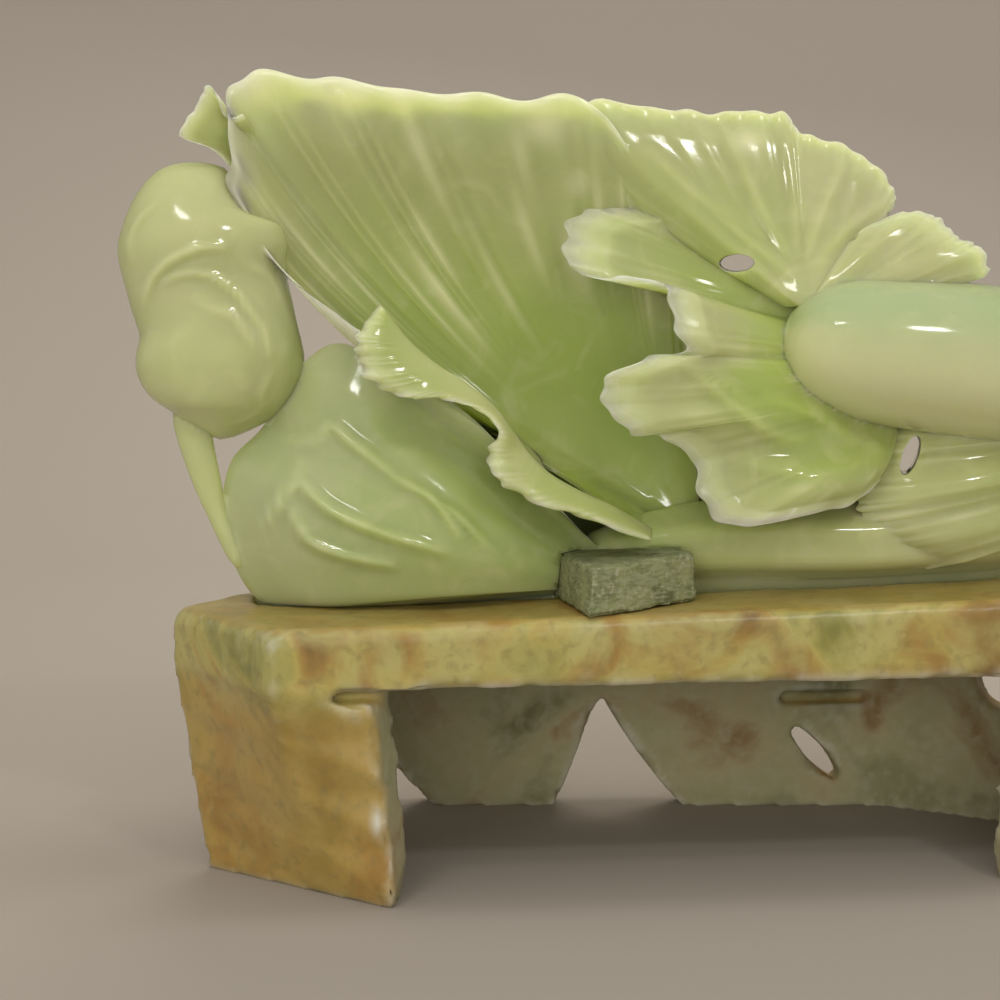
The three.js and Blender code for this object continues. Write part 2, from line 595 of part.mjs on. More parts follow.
// The offcut is a sawn block with one sharp edge towards the viewer. Its base lies on the sloping slab.
function offcutOutline(grow) {
  const front = [OFFCUT_PLACE, -halfDepth - OFFCUT_OVERHANG];
  const side = [front[0] - OFFCUT_SIDE * 0.12, front[1] + OFFCUT_SIDE];
  const face = [front[0] + OFFCUT_FACE * 0.84, front[1] + OFFCUT_FACE * 0.53];
  const behind = [face[0] - 3, face[1] + OFFCUT_SIDE * 0.3];
  return offsetLine([front, face, behind, side, front], -grow).slice(0, 4);
}

function makeOffcut(grow = 0) {
  const lean = [[2, 3], [-0.6, 2.4], [0, -1], [1, -2]];
  const base = offcutOutline(grow);
  const low = base.map(([x, y]) => [x, y, GAP - grow]);
  const worn = [1, 0, 0, 0];
  const high = base.map(([x, y], i) => [x + lean[i][0], y + lean[i][1], OFFCUT_HEIGHT + grow - worn[i]]);
  return loft([low, high]).transform([...seatFrame.elements]);
}

function makeCarving() {
  const pieces = [
    ...LEAVES.map(leaf),
    ...STALKS.map(stalk),
    solidOf(footBlock(0, -RECESS_DEPTH + GAP, FOOT_TOP)),
  ];
  const pierced = OPENINGS.reduce((rest, hole) => rest.subtract(opening(hole)), unite(pieces));
  const whole = pierced.transform([...seatFrame.elements]);
  // Everything below the seat is sawn off flat, apart from the foot that stands in the recess.
  const below = new THREE.BoxGeometry(2 * CARVING_LENGTH, 2 * STAND_DEPTH, topHeight)
    .translate(0, 0, GAP - topHeight / 2);
  const foot = solidOf(footBlock(0, -RECESS_DEPTH + GAP, FOOT_TOP), seatFrame);
  return tidied(whole.subtract(solidOf(below, seatFrame)).add(foot).subtract(makeOffcut(GAP)));
}

function named(name, solid, colour, roughness) {
  const material = new THREE.MeshStandardMaterial({ color: colour, roughness, metalness: 0 });
  const mesh = new THREE.Mesh(geometryOf(solid), material);
  mesh.name = name;
  return mesh;
}

const object = new THREE.Group();
object.add(
  named("stand", makeStand(), 0x9a7f45, 0.45),
  named("cabbage_carving", makeCarving(), 0xa9bf78, 0.15),
  named("offcut_block", makeOffcut(), 0x6e7a5c, 0.85),
);

// The frame's origin is the middle of the object's footprint.
const bounds = new THREE.Box3().setFromObject(object);
const middle = bounds.getCenter(new THREE.Vector3());
object.position.set(-middle.x, -middle.y, 0);

export default object;
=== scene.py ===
import math

import bmesh
import bpy
import numpy as np
from mathutils import Euler, Matrix, Vector
from mathutils.kdtree import KDTree


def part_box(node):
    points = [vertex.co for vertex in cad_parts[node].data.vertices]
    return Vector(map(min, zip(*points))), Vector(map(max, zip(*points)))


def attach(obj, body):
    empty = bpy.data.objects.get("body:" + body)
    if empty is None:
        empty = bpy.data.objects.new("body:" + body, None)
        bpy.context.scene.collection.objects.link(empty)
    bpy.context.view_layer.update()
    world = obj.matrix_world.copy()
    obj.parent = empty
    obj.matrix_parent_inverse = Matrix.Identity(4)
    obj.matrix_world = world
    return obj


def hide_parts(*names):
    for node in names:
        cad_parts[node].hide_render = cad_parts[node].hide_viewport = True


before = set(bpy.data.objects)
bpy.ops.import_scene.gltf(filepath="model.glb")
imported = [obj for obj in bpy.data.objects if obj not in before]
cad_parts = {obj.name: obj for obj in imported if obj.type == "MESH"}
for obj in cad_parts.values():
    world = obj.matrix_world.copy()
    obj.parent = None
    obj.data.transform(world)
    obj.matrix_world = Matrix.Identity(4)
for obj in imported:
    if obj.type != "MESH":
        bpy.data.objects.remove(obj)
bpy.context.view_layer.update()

# The camera stands low and a little to the left of the stand, and looks slightly down along it, as a
# studio photographer's tripod does. Distances are millimetres from the middle of the stand on the floor.
MM = 0.001
stand_low, stand_high = (Vector(corner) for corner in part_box("stand"))
stand_middle = (stand_low + stand_high) / 2
stand_middle.z = 0.0
CAMERA_FROM_STAND = Vector((-115, -586, 173.3)) * MM
CAMERA_YAW = math.radians(6)
CAMERA_PITCH = math.radians(6.56)

camera_data = bpy.data.cameras.new("photo_camera")
camera_data.sensor_width = 36
camera_data.lens = 72
camera_data.clip_start = 0.02
camera = bpy.data.objects.new("photo_camera", camera_data)
camera.location = stand_middle + CAMERA_FROM_STAND
camera.rotation_euler = Euler((math.pi / 2 - CAMERA_PITCH, 0, -CAMERA_YAW))
bpy.context.collection.objects.link(camera)
bpy.context.scene.camera = camera


# The studio: a seamless sheet of warm-grey paper that curves up behind the object. A large softbox above and
# a low fill in front don't show in the polish, but a strip on the left and a small window on the right do.
# A weak light behind glows through the thin leaves, and one washes over the paper. Lengths are in metres.
PAPER_WIDTH = 4.0
PAPER_FRONT = -1.6
PAPER_BACK = 1.1
PAPER_HEIGHT = 2.2
PAPER_BEND = 0.5
BEND_STEPS = 16
PAPER_COLOUR = (0.385, 0.338, 0.288, 1)
ROOM_COLOUR = (1.0, 0.97, 0.9, 1)
ROOM_STRENGTH = 0.39


def make_paper():
    profile = [(PAPER_FRONT, 0.0)]
    for step in range(BEND_STEPS + 1):
        angle = math.pi / 2 * step / BEND_STEPS
        back = PAPER_BACK - PAPER_BEND * (1 - math.sin(angle))
        profile.append((back, PAPER_BEND * (1 - math.cos(angle))))
    profile.append((PAPER_BACK, PAPER_HEIGHT))
    points = [(side * PAPER_WIDTH / 2, y, z) for y, z in profile for side in (-1, 1)]
    faces = [(2 * i, 2 * i + 1, 2 * i + 3, 2 * i + 2) for i in range(len(profile) - 1)]
    mesh = bpy.data.meshes.new("studio_paper")
    mesh.from_pydata(points, [], faces)
    mesh.shade_smooth()
    paper = bpy.data.objects.new("studio_paper", mesh)
    bpy.context.collection.objects.link(paper)
    material = bpy.data.materials.new("studio_paper")
    material.use_nodes = True
    shader = material.node_tree.nodes["Principled BSDF"]
    shader.inputs["Base Color"].default_value = PAPER_COLOUR
    shader.inputs["Roughness"].default_value = 0.9
    shader.inputs["Specular IOR Level"].default_value = 0.1
    mesh.materials.append(material)


def softbox(name, place, target, size, power, colour=(1, 1, 1), mirrored=True):
    # An area light. One that isn't mirrored lights the stone without a reflection of its own in the polish.
    light = bpy.data.lights.new(name, "AREA")
    light.shape = "RECTANGLE"
    light.size, light.size_y = size
    light.energy = power
    light.color = colour
    lamp = bpy.data.objects.new(name, light)
    lamp.location = place
    lamp.rotation_euler = (Vector(target) - Vector(place)).to_track_quat("-Z", "Y").to_euler()
    lamp.visible_glossy = mirrored
    bpy.context.collection.objects.link(lamp)


make_paper()
softbox("top_softbox", (-0.3, -0.5, 1.9), (0, 0, 0.1), (2.4, 2.4), 10.5, (1.0, 0.98, 0.94), mirrored=False)
softbox("strip_softbox", (-0.55, -0.8, 1.3), (-0.05, 0, 0.14), (0.3, 0.09), 1.5)
softbox("window_softbox", (0.33, -0.85, 1.0), (0.05, 0, 0.14), (0.13, 0.09), 1.5)
softbox("front_fill", (-0.4, -1.45, 0.3), (0, 0, 0.08), (1.4, 0.7), 10, (1.0, 0.98, 0.95), mirrored=False)
softbox("back_glow", (0.1, 0.75, 0.75), (0, 0, 0.16), (0.7, 0.4), 3.6, (1.0, 0.98, 0.9), mirrored=False)
softbox("paper_wash", (0.5, 0.1, 1.3), (0.35, 1.1, 0.2), (1.2, 0.4), 4.6, mirrored=False)
world = bpy.data.worlds.new("studio")
world.use_nodes = True
background = world.node_tree.nodes["Background"]
background.inputs["Color"].default_value = ROOM_COLOUR
background.inputs["Strength"].default_value = ROOM_STRENGTH
bpy.context.scene.world = world
bpy.context.scene.view_settings.view_transform = "Standard"


# The stand is one hewn block of mottled ochre and olive stone. Its outside is ground and waxed, and its
# inside faces are left as the saw cut them, in colours that are partly painted light. Its edges are worn and
# chipped.
STONE_VOXEL = 1.45 * MM
SAME_POINT = 1e-6


def loose_copy(node, name):
    # A CAD node's mesh with its corners merged, so that it can be worked on.
    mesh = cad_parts[node].data.copy()
    mesh.name = name
    work = bmesh.new()
    work.from_mesh(mesh)
    bmesh.ops.remove_doubles(work, verts=work.verts, dist=SAME_POINT)
    work.to_mesh(mesh)
    work.free()
    mesh.materials.clear()
    copy = bpy.data.objects.new(name, mesh)
    bpy.context.collection.objects.link(copy)
    return copy


def settle(piece):
    # Turns a piece with live modifiers into a plain mesh.
    bpy.context.view_layer.update()
    evaluated = piece.evaluated_get(bpy.context.evaluated_depsgraph_get())
    mesh = bpy.data.meshes.new_from_object(evaluated)
    piece.modifiers.clear()
    piece.data = mesh
    mesh.name = piece.name
    return piece


def remeshed(piece, voxel):
    # An even mesh on the same form, softened once.
    remesh = piece.modifiers.new("voxels", "REMESH")
    remesh.mode = "VOXEL"
    remesh.voxel_size = voxel
    smooth = piece.modifiers.new("soften", "SMOOTH")
    smooth.factor = 0.5
    smooth.iterations = 1
    return settle(piece)


# Where a stone's face may move. An edge chips where it bends by this much, in radians, and where the chip
# noise is this strong. A point is free to move when it is this high above the floor.
SHARP_EDGE = (0.12, 0.45)
KNOCKED_OUT = (0.45, 0.62)
OFF_THE_FLOOR = (0.5 * MM, 3 * MM)


def stone_face_tree():
    # Shifts a stone surface along its normals: slow waves of the hand grinder, a fine grain, and chips
    # that are knocked out of the sharp edges. What stands on the floor keeps its height.
    tree = bpy.data.node_groups.new("hewn_stone_face", "GeometryNodeTree")
    face = tree.interface
    face.new_socket("Geometry", in_out="INPUT", socket_type="NodeSocketGeometry")
    for name in ("Wave Depth", "Wave Scale", "Grain Depth", "Grain Scale", "Chip Depth", "Chip Scale"):
        face.new_socket(name, in_out="INPUT", socket_type="NodeSocketFloat")
    face.new_socket("Stone", in_out="INPUT", socket_type="NodeSocketMaterial")
    face.new_socket("Geometry", in_out="OUTPUT", socket_type="NodeSocketGeometry")
    nodes, links = tree.nodes, tree.links
    given = nodes.new("NodeGroupInput")
    place = nodes.new("GeometryNodeInputPosition")

    def maths(operation, first, second):
        node = nodes.new("ShaderNodeMath")
        node.operation = operation
        for socket, value in zip(node.inputs, (first, second)):
            if isinstance(value, (int, float)):
                socket.default_value = value
            else:
                links.new(value, socket)
        return node.outputs[0]

    def noise(scale, detail):
        node = nodes.new("ShaderNodeTexNoise")
        links.new(place.outputs[0], node.inputs["Vector"])
        links.new(given.outputs[scale], node.inputs["Scale"])
        node.inputs["Detail"].default_value = detail
        return node.outputs[0]

    def share_between(value, limits):
        node = nodes.new("ShaderNodeMapRange")
        links.new(value, node.inputs["Value"])
        node.inputs["From Min"].default_value, node.inputs["From Max"].default_value = limits
        return node.outputs["Result"]

    wave = maths("MULTIPLY", maths("SUBTRACT", noise("Wave Scale", 2), 0.5), given.outputs["Wave Depth"])
    grain = maths("MULTIPLY", maths("SUBTRACT", noise("Grain Scale", 5), 0.5), given.outputs["Grain Depth"])
    angle = nodes.new("GeometryNodeInputMeshEdgeAngle")
    blurred = nodes.new("GeometryNodeBlurAttribute")
    links.new(share_between(angle.outputs["Signed Angle"], SHARP_EDGE), blurred.inputs["Value"])
    blurred.inputs["Iterations"].default_value = 1
    knocked = share_between(noise("Chip Scale", 3), KNOCKED_OUT)
    broken = maths("MULTIPLY", blurred.outputs[0], knocked)
    chip = maths("MULTIPLY", broken, given.outputs["Chip Depth"])
    depth = maths("SUBTRACT", maths("ADD", wave, grain), chip)
    split = nodes.new("ShaderNodeSeparateXYZ")
    links.new(place.outputs[0], split.inputs[0])
    lifted = share_between(split.outputs["Z"], OFF_THE_FLOOR)
    normal = nodes.new("GeometryNodeInputNormal")
    offset = nodes.new("ShaderNodeVectorMath")
    offset.operation = "SCALE"
    links.new(normal.outputs[0], offset.inputs[0])
    links.new(maths("MULTIPLY", depth, lifted), offset.inputs["Scale"])
    moved = nodes.new("GeometryNodeSetPosition")
    links.new(given.outputs["Geometry"], moved.inputs["Geometry"])
    links.new(offset.outputs[0], moved.inputs["Offset"])
    realized = nodes.new("GeometryNodeRealizeInstances")
    links.new(moved.outputs[0], realized.inputs[0])
    finish = nodes.new("GeometryNodeSetMaterial")
    links.new(realized.outputs[0], finish.inputs["Geometry"])
    links.new(given.outputs["Stone"], finish.inputs["Material"])
    result = nodes.new("NodeGroupOutput")
    links.new(finish.outputs[0], result.inputs[0])
    return tree


stone_face = stone_face_tree()


def weathered(piece, material, **depths):
    # Gives a piece the stone face. Depths are in metres, and scales are waves to the metre.
    modifier = piece.modifiers.new("stone_face", "NODES")
    modifier.node_group = stone_face
    values = {name.replace("_", " ").title(): value for name, value in depths.items()}
    values["Stone"] = material
    for item in stone_face.interface.items_tree:
        if item.in_out == "INPUT" and item.name in values:
            modifier[item.identifier] = values[item.name]
    settle(piece)


def shader_nodes(name):
    material = bpy.data.materials.new(name)
    material.use_nodes = True
    nodes, links = material.node_tree.nodes, material.node_tree.links
    return material, nodes, links, nodes["Principled BSDF"]


def noise_at(nodes, links, vector, scale, detail, distortion=0.0):
    # A cloudy noise, from 0 to 1. The scale is in waves to the metre.
    node = nodes.new("ShaderNodeTexNoise")
    node.inputs["Scale"].default_value = scale
    node.inputs["Detail"].default_value = detail
    node.inputs["Distortion"].default_value = distortion
    links.new(vector, node.inputs["Vector"])
    return node.outputs[0]


def ramp(nodes, links, value, stops):
    # A colour for each value: the stops are values with their colours.
    node = nodes.new("ShaderNodeValToRGB")
    while len(node.color_ramp.elements) < len(stops):
        node.color_ramp.elements.new(0.5)
    for element, (position, colour) in zip(node.color_ramp.elements, stops):
        element.position = position
        element.color = (*colour, 1)
    links.new(value, node.inputs[0])
    return node.outputs[0]


def faded(nodes, links, value, low, high, last, first=0.0):
    # A share that goes from first to last while the value goes from low to high.
    return ramp(nodes, links, value, [(low, (first,) * 3), (high, (last,) * 3)])


def mixed(nodes, links, share, first, second):
    # Two colours mixed by a share. Each colour is a socket or a plain colour.
    node = nodes.new("ShaderNodeMix")
    node.data_type = "RGBA"
    links.new(share, node.inputs["Factor"])
    colours = [socket for socket in node.inputs if socket.type == "RGBA"]
    for socket, value in zip(colours, (first, second)):
        if isinstance(value, tuple):
            socket.default_value = (*value, 1)
        else:
            links.new(value, socket)
    return next(socket for socket in node.outputs if socket.type == "RGBA")


def attribute(nodes, name):
    node = nodes.new("ShaderNodeAttribute")
    node.attribute_name = name
    return node.outputs["Fac"]


def bumped(nodes, links, shader, height, strength, distance):
    # Fine grain in the shading alone. The distance is in metres.
    node = nodes.new("ShaderNodeBump")
    node.inputs["Strength"].default_value = strength
    node.inputs["Distance"].default_value = distance
    links.new(height, node.inputs["Height"])
    links.new(node.outputs[0], shader.inputs["Normal"])


# Colours that the stand's stone takes in patches.
YELLOW_CLOUD = (0.46, 0.42, 0.15)
RUST = (0.37, 0.205, 0.045)
DARK_SPECK = (0.22, 0.175, 0.06)
SAW_DUST = (0.38, 0.36, 0.23)
WORN_WHITE = (0.62, 0.60, 0.50)


def stand_stone():
    material, nodes, links, shader = shader_nodes("mottled_ochre_stone")
    place = nodes.new("ShaderNodeTexCoord").outputs["Object"]
    broad = noise_at(nodes, links, place, 22, 5, 1.2)
    patches = noise_at(nodes, links, place, 55, 6, 0.8)
    fine = noise_at(nodes, links, place, 260, 5, 0.3)
    waxed = ramp(nodes, links, broad, [
        (0.30, (0.18, 0.18, 0.045)), (0.42, (0.31, 0.285, 0.07)), (0.50, (0.44, 0.36, 0.10)),
        (0.58, (0.35, 0.22, 0.055)), (0.70, (0.20, 0.12, 0.035)),
    ])
    waxed = mixed(nodes, links, faded(nodes, links, patches, 0.42, 0.62, 0.75), waxed, YELLOW_CLOUD)
    waxed = mixed(nodes, links, faded(nodes, links, attribute(nodes, "rusty"), 0.0, 1.0, 0.6), waxed, RUST)
    waxed = mixed(nodes, links, faded(nodes, links, fine, 0.52, 0.72, 0.5), waxed, DARK_SPECK)
    # The sawn faces' colours are partly the sawn stone's own grey and olive and partly painted light: they
    # are made lighter so that the shaded inner walls look lit.
    sawn = ramp(nodes, links, broad, [
        (0.32, (0.17, 0.165, 0.075)), (0.48, (0.32, 0.30, 0.16)), (0.60, (0.36, 0.31, 0.17)),
        (0.72, (0.24, 0.16, 0.07)),
    ])
    sawn = mixed(nodes, links, faded(nodes, links, fine, 0.45, 0.7, 0.5), sawn, SAW_DUST)
    body = mixed(nodes, links, attribute(nodes, "sawn"), waxed, sawn)
    worn = mixed(nodes, links, attribute(nodes, "worn"), body, WORN_WHITE)
    links.new(worn, shader.inputs["Base Color"])
    rough = faded(nodes, links, attribute(nodes, "sawn"), 0.0, 1.0, 0.8, first=0.32)
    links.new(rough, shader.inputs["Roughness"])
    shader.inputs["IOR"].default_value = 1.55
    bumped(nodes, links, shader, fine, 0.25, 0.0006)
    return material


def point_arrays(mesh):
    count = len(mesh.vertices)
    places = np.empty(count * 3)
    mesh.vertices.foreach_get("co", places)
    normals = np.empty(count * 3)
    mesh.vertex_normals.foreach_get("vector", normals)
    return places.reshape(-1, 3), normals.reshape(-1, 3)


def store(mesh, name, values):
    # Keeps one number for each point, which the materials read by its name.
    layer = mesh.attributes.new(name, "FLOAT", "POINT")
    layer.data.foreach_set("value", np.ascontiguousarray(values, dtype=np.float32))


def edge_pairs(mesh):
    pairs = np.empty(len(mesh.edges) * 2, dtype=np.int64)
    mesh.edges.foreach_get("vertices", pairs)
    return pairs.reshape(-1, 2)


def spread(values, pairs, rounds):
    # Averages each point's value with its neighbours'.
    for _ in range(rounds):
        total = values.copy()
        count = np.ones(len(values))
        for a, b in ((0, 1), (1, 0)):
            np.add.at(total, pairs[:, a], values[pairs[:, b]])
            np.add.at(count, pairs[:, a], 1)
        values = total / count
    return values


def convexity(mesh):
    # How far a point stands out from its neighbours, which is largest along sharp edges.
    places, normals = point_arrays(mesh)
    pairs = edge_pairs(mesh)
    around = np.stack([spread(places[:, axis], pairs, 2) for axis in range(3)], axis=1)
    return ((places - around) * normals).sum(axis=1), pairs


def smoothstep(low, high, value):
    # Rises smoothly from 0 at low to 1 at high.
    part = np.clip((value - low) / (high - low), 0, 1)
    return part * part * (3 - 2 * part)


# Marks on the stand, in millimetres from the middle of its footprint: the crack line of the wall in X and
# Z, with its width and depth, and the white chip on the left leg's inner edge, with its reach on each axis.
WALL_CREASE = ((60, 27), (66, 18), (73.5, 7.5), (78, -3))
CREASE_WIDTH, CREASE_DEPTH = 1.6, 1.2
LEG_CHIP = (-93, -57, 24.5)
LEG_CHIP_SIZE = (1.5, 3.2, 3.6)
# Ground and waxed are the top, the ends in front of the wall, the legs' fronts and the wall's back. Each is
# told by how far a normal leans that way and by where it is from front to back.
TOP_LEAN, END_LEAN, FRONT_LEAN, BACK_LEAN = 0.75, 0.35, -0.6, 0.5
WALL_FRONT, LEG_FRONT, WALL_BACK = 25, -40, 28
# The stone is rusty low down, fully below the second height, and less so on top.
RUST_HEIGHTS = (66, 48)
RUST_ON_TOP, LEVEL_LEAN = 0.7, 0.8
# An edge is worn white where it stands out by this much, and how white it gets.
WEAR_FROM, WEAR_SPAN, WEAR_MOST = 0.00016, 0.0003, 0.7


def finish_stand():
    stand = remeshed(loose_copy("stand", "stand_stone"), STONE_VOXEL)
    weathered(stand, stand_stone(), wave_depth=0.0011, wave_scale=38, grain_depth=0.0005, grain_scale=420,
              chip_depth=0.0022, chip_scale=90)
    mesh = stand.data
    places, normals = point_arrays(mesh)
    local = (places - np.array(stand_middle)) / MM
    # A crack line runs down the back wall's inner face, right of the slit.
    line = np.array(WALL_CREASE)
    level = np.interp(local[:, 2], line[::-1, 1], line[::-1, 0])
    inner_wall = (normals[:, 1] < -BACK_LEAN) & (local[:, 1] > WALL_FRONT) & (local[:, 2] < line[0, 1])
    sunk = inner_wall * np.exp(-(((local[:, 0] - level) / CREASE_WIDTH) ** 2))
    places[:, 1] += CREASE_DEPTH * MM * sunk
    mesh.vertices.foreach_set("co", places.ravel())
    mesh.update()
    y = places[:, 1]
    polished = normals[:, 2] > TOP_LEAN
    polished |= (np.sign(local[:, 0]) * normals[:, 0] > END_LEAN) & (y < WALL_FRONT * MM)
    polished |= (normals[:, 1] < FRONT_LEAN) & (y < LEG_FRONT * MM)
    polished |= (normals[:, 1] > BACK_LEAN) & (y > WALL_BACK * MM)
    bulge, pairs = convexity(mesh)
    chip = np.exp(-(((local - LEG_CHIP) / LEG_CHIP_SIZE) ** 2).sum(axis=1))
    store(mesh, "sawn", spread(1.0 - polished, pairs, 3))
    on_top = RUST_ON_TOP * (normals[:, 2] > LEVEL_LEAN)
    store(mesh, "rusty", np.maximum(smoothstep(*RUST_HEIGHTS, local[:, 2]), on_top))
    worn = spread(np.clip((bulge - WEAR_FROM) / WEAR_SPAN, 0, 1), pairs, 1)
    store(mesh, "worn", np.maximum(np.clip(worn, 0, WEAR_MOST), chip))
    mesh.shade_smooth()
    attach(stand, "root")
    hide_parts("stand")


finish_stand()


# The offcut is a loose piece of dark grey-green stone, straight from the saw, with broken edges. It is
# pushed under the carving's belly from the front and isn't fixed.
BLOCK_VOXEL = 0.55 * MM
STROKE_TURN = (0.2, 0.0, 0.5)
STROKE_STRETCH = (0.35, 1, 2.4)
STROKE_GREY = (0.30, 0.31, 0.18)
PALE_DUST = (0.46, 0.45, 0.32)


def sawn_stone():
    material, nodes, links, shader = shader_nodes("rough_sawn_stone")
    place = nodes.new("ShaderNodeTexCoord").outputs["Object"]
    stretch = nodes.new("ShaderNodeMapping")
    stretch.inputs["Rotation"].default_value = STROKE_TURN
    stretch.inputs["Scale"].default_value = STROKE_STRETCH
    links.new(place, stretch.inputs["Vector"])
    strokes = noise_at(nodes, links, stretch.outputs[0], 520, 4)
    broad = noise_at(nodes, links, place, 90, 5, 0.6)
    dust = noise_at(nodes, links, place, 700, 4)
    colour = ramp(nodes, links, broad, [
        (0.30, (0.075, 0.082, 0.034)), (0.48, (0.18, 0.195, 0.08)), (0.62, (0.26, 0.275, 0.12)),
        (0.75, (0.30, 0.25, 0.07)),
    ])
    colour = mixed(nodes, links, faded(nodes, links, strokes, 0.42, 0.62, 0.7), colour, STROKE_GREY)
    colour = mixed(nodes, links, faded(nodes, links, dust, 0.56, 0.74, 0.6), colour, PALE_DUST)
    links.new(colour, shader.inputs["Base Color"])
    shader.inputs["Roughness"].default_value = 0.85
    bumped(nodes, links, shader, strokes, 0.6, 0.0005)
    return material


def finish_block():
    block = remeshed(loose_copy("offcut_block", "sawn_block"), BLOCK_VOXEL)
    weathered(block, sawn_stone(), wave_depth=0.0006, wave_scale=90, grain_depth=0.0006, grain_scale=600,
              chip_depth=0.0022, chip_scale=140)
    block.data.shade_smooth()
    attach(block, "root")
    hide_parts("offcut_block")


finish_block()


# The cabbage is cut from one block of translucent green serpentine. Each leaf is a thin shell with fine
# veins that fan out to a ruffled rim, and the shells, stalks and rolled lobes are all one stone.
SLAB_TOP = 79.9 * MM
SLAB_RISE = 7.45 / 300
SEAT = (
    Matrix.Translation(stand_middle + Vector((0, 0, SLAB_TOP)))
    @ Matrix.Rotation(-math.atan(SLAB_RISE), 4, "Y")
    @ Matrix.Scale(MM, 4)
)
# What each point of the stone looks like, from 0 to 1: frosted, deep green, cool green, and pale cream.
LOOKS = ("frost", "deep", "cool", "pale")
stone_parts = []
remembered_points = []
remembered_looks = {look: [] for look in LOOKS}


def along_curve(points, share):
    # A smooth curve through the points. share runs from 0 at the first to 1 at the last.
    given = np.array(points, dtype=float)
    if given.ndim == 1:
        given = given[:, None]
    padded = np.vstack([2 * given[0] - given[1], given, 2 * given[-1] - given[-2]])
    walked = np.clip(share, 0, 1) * (len(given) - 1)
    start = np.minimum(walked.astype(int), len(given) - 2)
    part = (walked - start)[..., None]
    before, here, there, after = (padded[start + step] for step in range(4))
    leaving, arriving = (there - before) / 2, (after - here) / 2
    square = 3 * (there - here) - 2 * leaving - arriving
    cube = 2 * (here - there) + leaving + arriving
    return here + leaving * part + square * part**2 + cube * part**3


VEIN_SHIFT, SHIFT_PACE = 0.35, 0.37


def unevenly(share, count, seed):
    # Counts veins along a leaf, with their spacing now wider and now narrower.
    return share * count + VEIN_SHIFT * np.sin(2 * np.pi * (share * count * SHIFT_PACE + seed))


def ridges(share, count, width, seed):
    # Thin raised lines: 1 on a line and 0 between.
    shifted = unevenly(share, count, seed)
    away = np.abs(shifted - np.round(shifted))
    return np.exp(-((away / width) ** 2))


def closed_grid(front, back):
    # Joins a front and a back grid of points into one closed shell. Returns points and triangles.
    rows, columns = front.shape[:2]
    ids = np.arange(rows * columns).reshape(rows, columns)
    other = ids + rows * columns

    def quads(a, b, c, d):
        a, b, c, d = (part.ravel() for part in (a, b, c, d))
        return np.concatenate([np.stack([a, b, c], 1), np.stack([a, c, d], 1)])

    faces = [
        quads(ids[:-1, :-1], ids[:-1, 1:], ids[1:, 1:], ids[1:, :-1]),
        quads(other[:-1, :-1], other[1:, :-1], other[1:, 1:], other[:-1, 1:]),
        quads(ids[:-1, 0], ids[1:, 0], other[1:, 0], other[:-1, 0]),
        quads(ids[1:, -1], ids[:-1, -1], other[:-1, -1], other[1:, -1]),
        quads(ids[0, 1:], ids[0, :-1], other[0, :-1], other[0, 1:]),
        quads(ids[-1, :-1], ids[-1, 1:], other[-1, 1:], other[-1, :-1]),
    ]
    return np.concatenate([front.reshape(-1, 3), back.reshape(-1, 3)]), np.concatenate(faces)


# Corners of a shell that are closer than this are one, and shorter edges than this go, in millimetres.
SAME_CORNER, SHORTEST_EDGE = 0.002, 0.001


def keep_part(name, points, triangles, **looks):
    # Stores one closed shell of the carving, with what each of its points looks like.
    mesh = bpy.data.meshes.new(name)
    mesh.from_pydata(points.tolist(), [], triangles.tolist())
    work = bmesh.new()
    work.from_mesh(mesh)
    bmesh.ops.remove_doubles(work, verts=work.verts, dist=SAME_CORNER)
    bmesh.ops.dissolve_degenerate(work, dist=SHORTEST_EDGE, edges=work.edges)
    bmesh.ops.triangulate(work, faces=work.faces)
    if work.calc_volume(signed=True) < 0:
        bmesh.ops.reverse_faces(work, faces=work.faces)
    work.to_mesh(mesh)
    work.free()
    part = bpy.data.objects.new(name, mesh)
    bpy.context.collection.objects.link(part)
    stone_parts.append(part)
    remembered_points.append(points)
    for look in LOOKS:
        value = looks.get(look, 0.0)
        remembered_looks[look].append(np.broadcast_to(value, len(points)).astype(float))


# The points along a ridge line, and the stretch of the half wave that it rises and fades by.
CREST_POINTS = 40
CREST_START, CREST_SPAN = 0.07, 0.86


def crest_push(places, crests):
    # How far the carver's ridge lines stand out from a face. Each is a line in X and Z, a height and a width,
    # and fades at both ends.
    push = np.zeros(places.shape[:-1])
    for line, height, width in crests:
        t = np.linspace(0, 1, CREST_POINTS)
        spine = along_curve(line, t)
        fade = np.sqrt(np.sin(np.pi * (t * CREST_SPAN + CREST_START)))
        away = np.linalg.norm(places[..., None, (0, 2)] - spine, axis=-1)
        nearest = away.argmin(axis=-1)
        closest = np.take_along_axis(away, nearest[..., None], axis=-1)[..., 0]
        push = np.maximum(push, height * fade[nearest] * np.exp(-((closest / width) ** 2)))
    return push


# Streaks: two rates and a factor that scramble a vein's number into its own chance and height, the width
# of a streak as a share of the spacing, and the share of the veins that have none.
SCRAMBLE_RATES, SCRAMBLE = (12.9, 78.2), 437.5
STREAK_WIDTH, BARE_VEINS = 0.22, 0.35
# Where up the leaf a streak may lie and how long it may be: the least, and the range above that.
STREAK_PLACE, STREAK_LENGTH = (0.5, 0.42), (0.03, 0.09)


def vein_streaks(u, v, veins, seed):
    # Short whitish streaks, each on a vein of its own and at its own height up the leaf.
    which = np.round(unevenly(u, veins, seed))
    chance, place = (np.modf(np.abs(np.sin(which * rate) * SCRAMBLE))[0] for rate in SCRAMBLE_RATES)
    middle = STREAK_PLACE[0] + STREAK_PLACE[1] * place
    length = STREAK_LENGTH[0] + STREAK_LENGTH[1] * chance
    along = np.exp(-(((v[None, :] - middle[:, None]) / length[:, None]) ** 2))
    return ridges(u, veins, STREAK_WIDTH, seed)[:, None] * along * (chance > BARE_VEINS)[:, None]


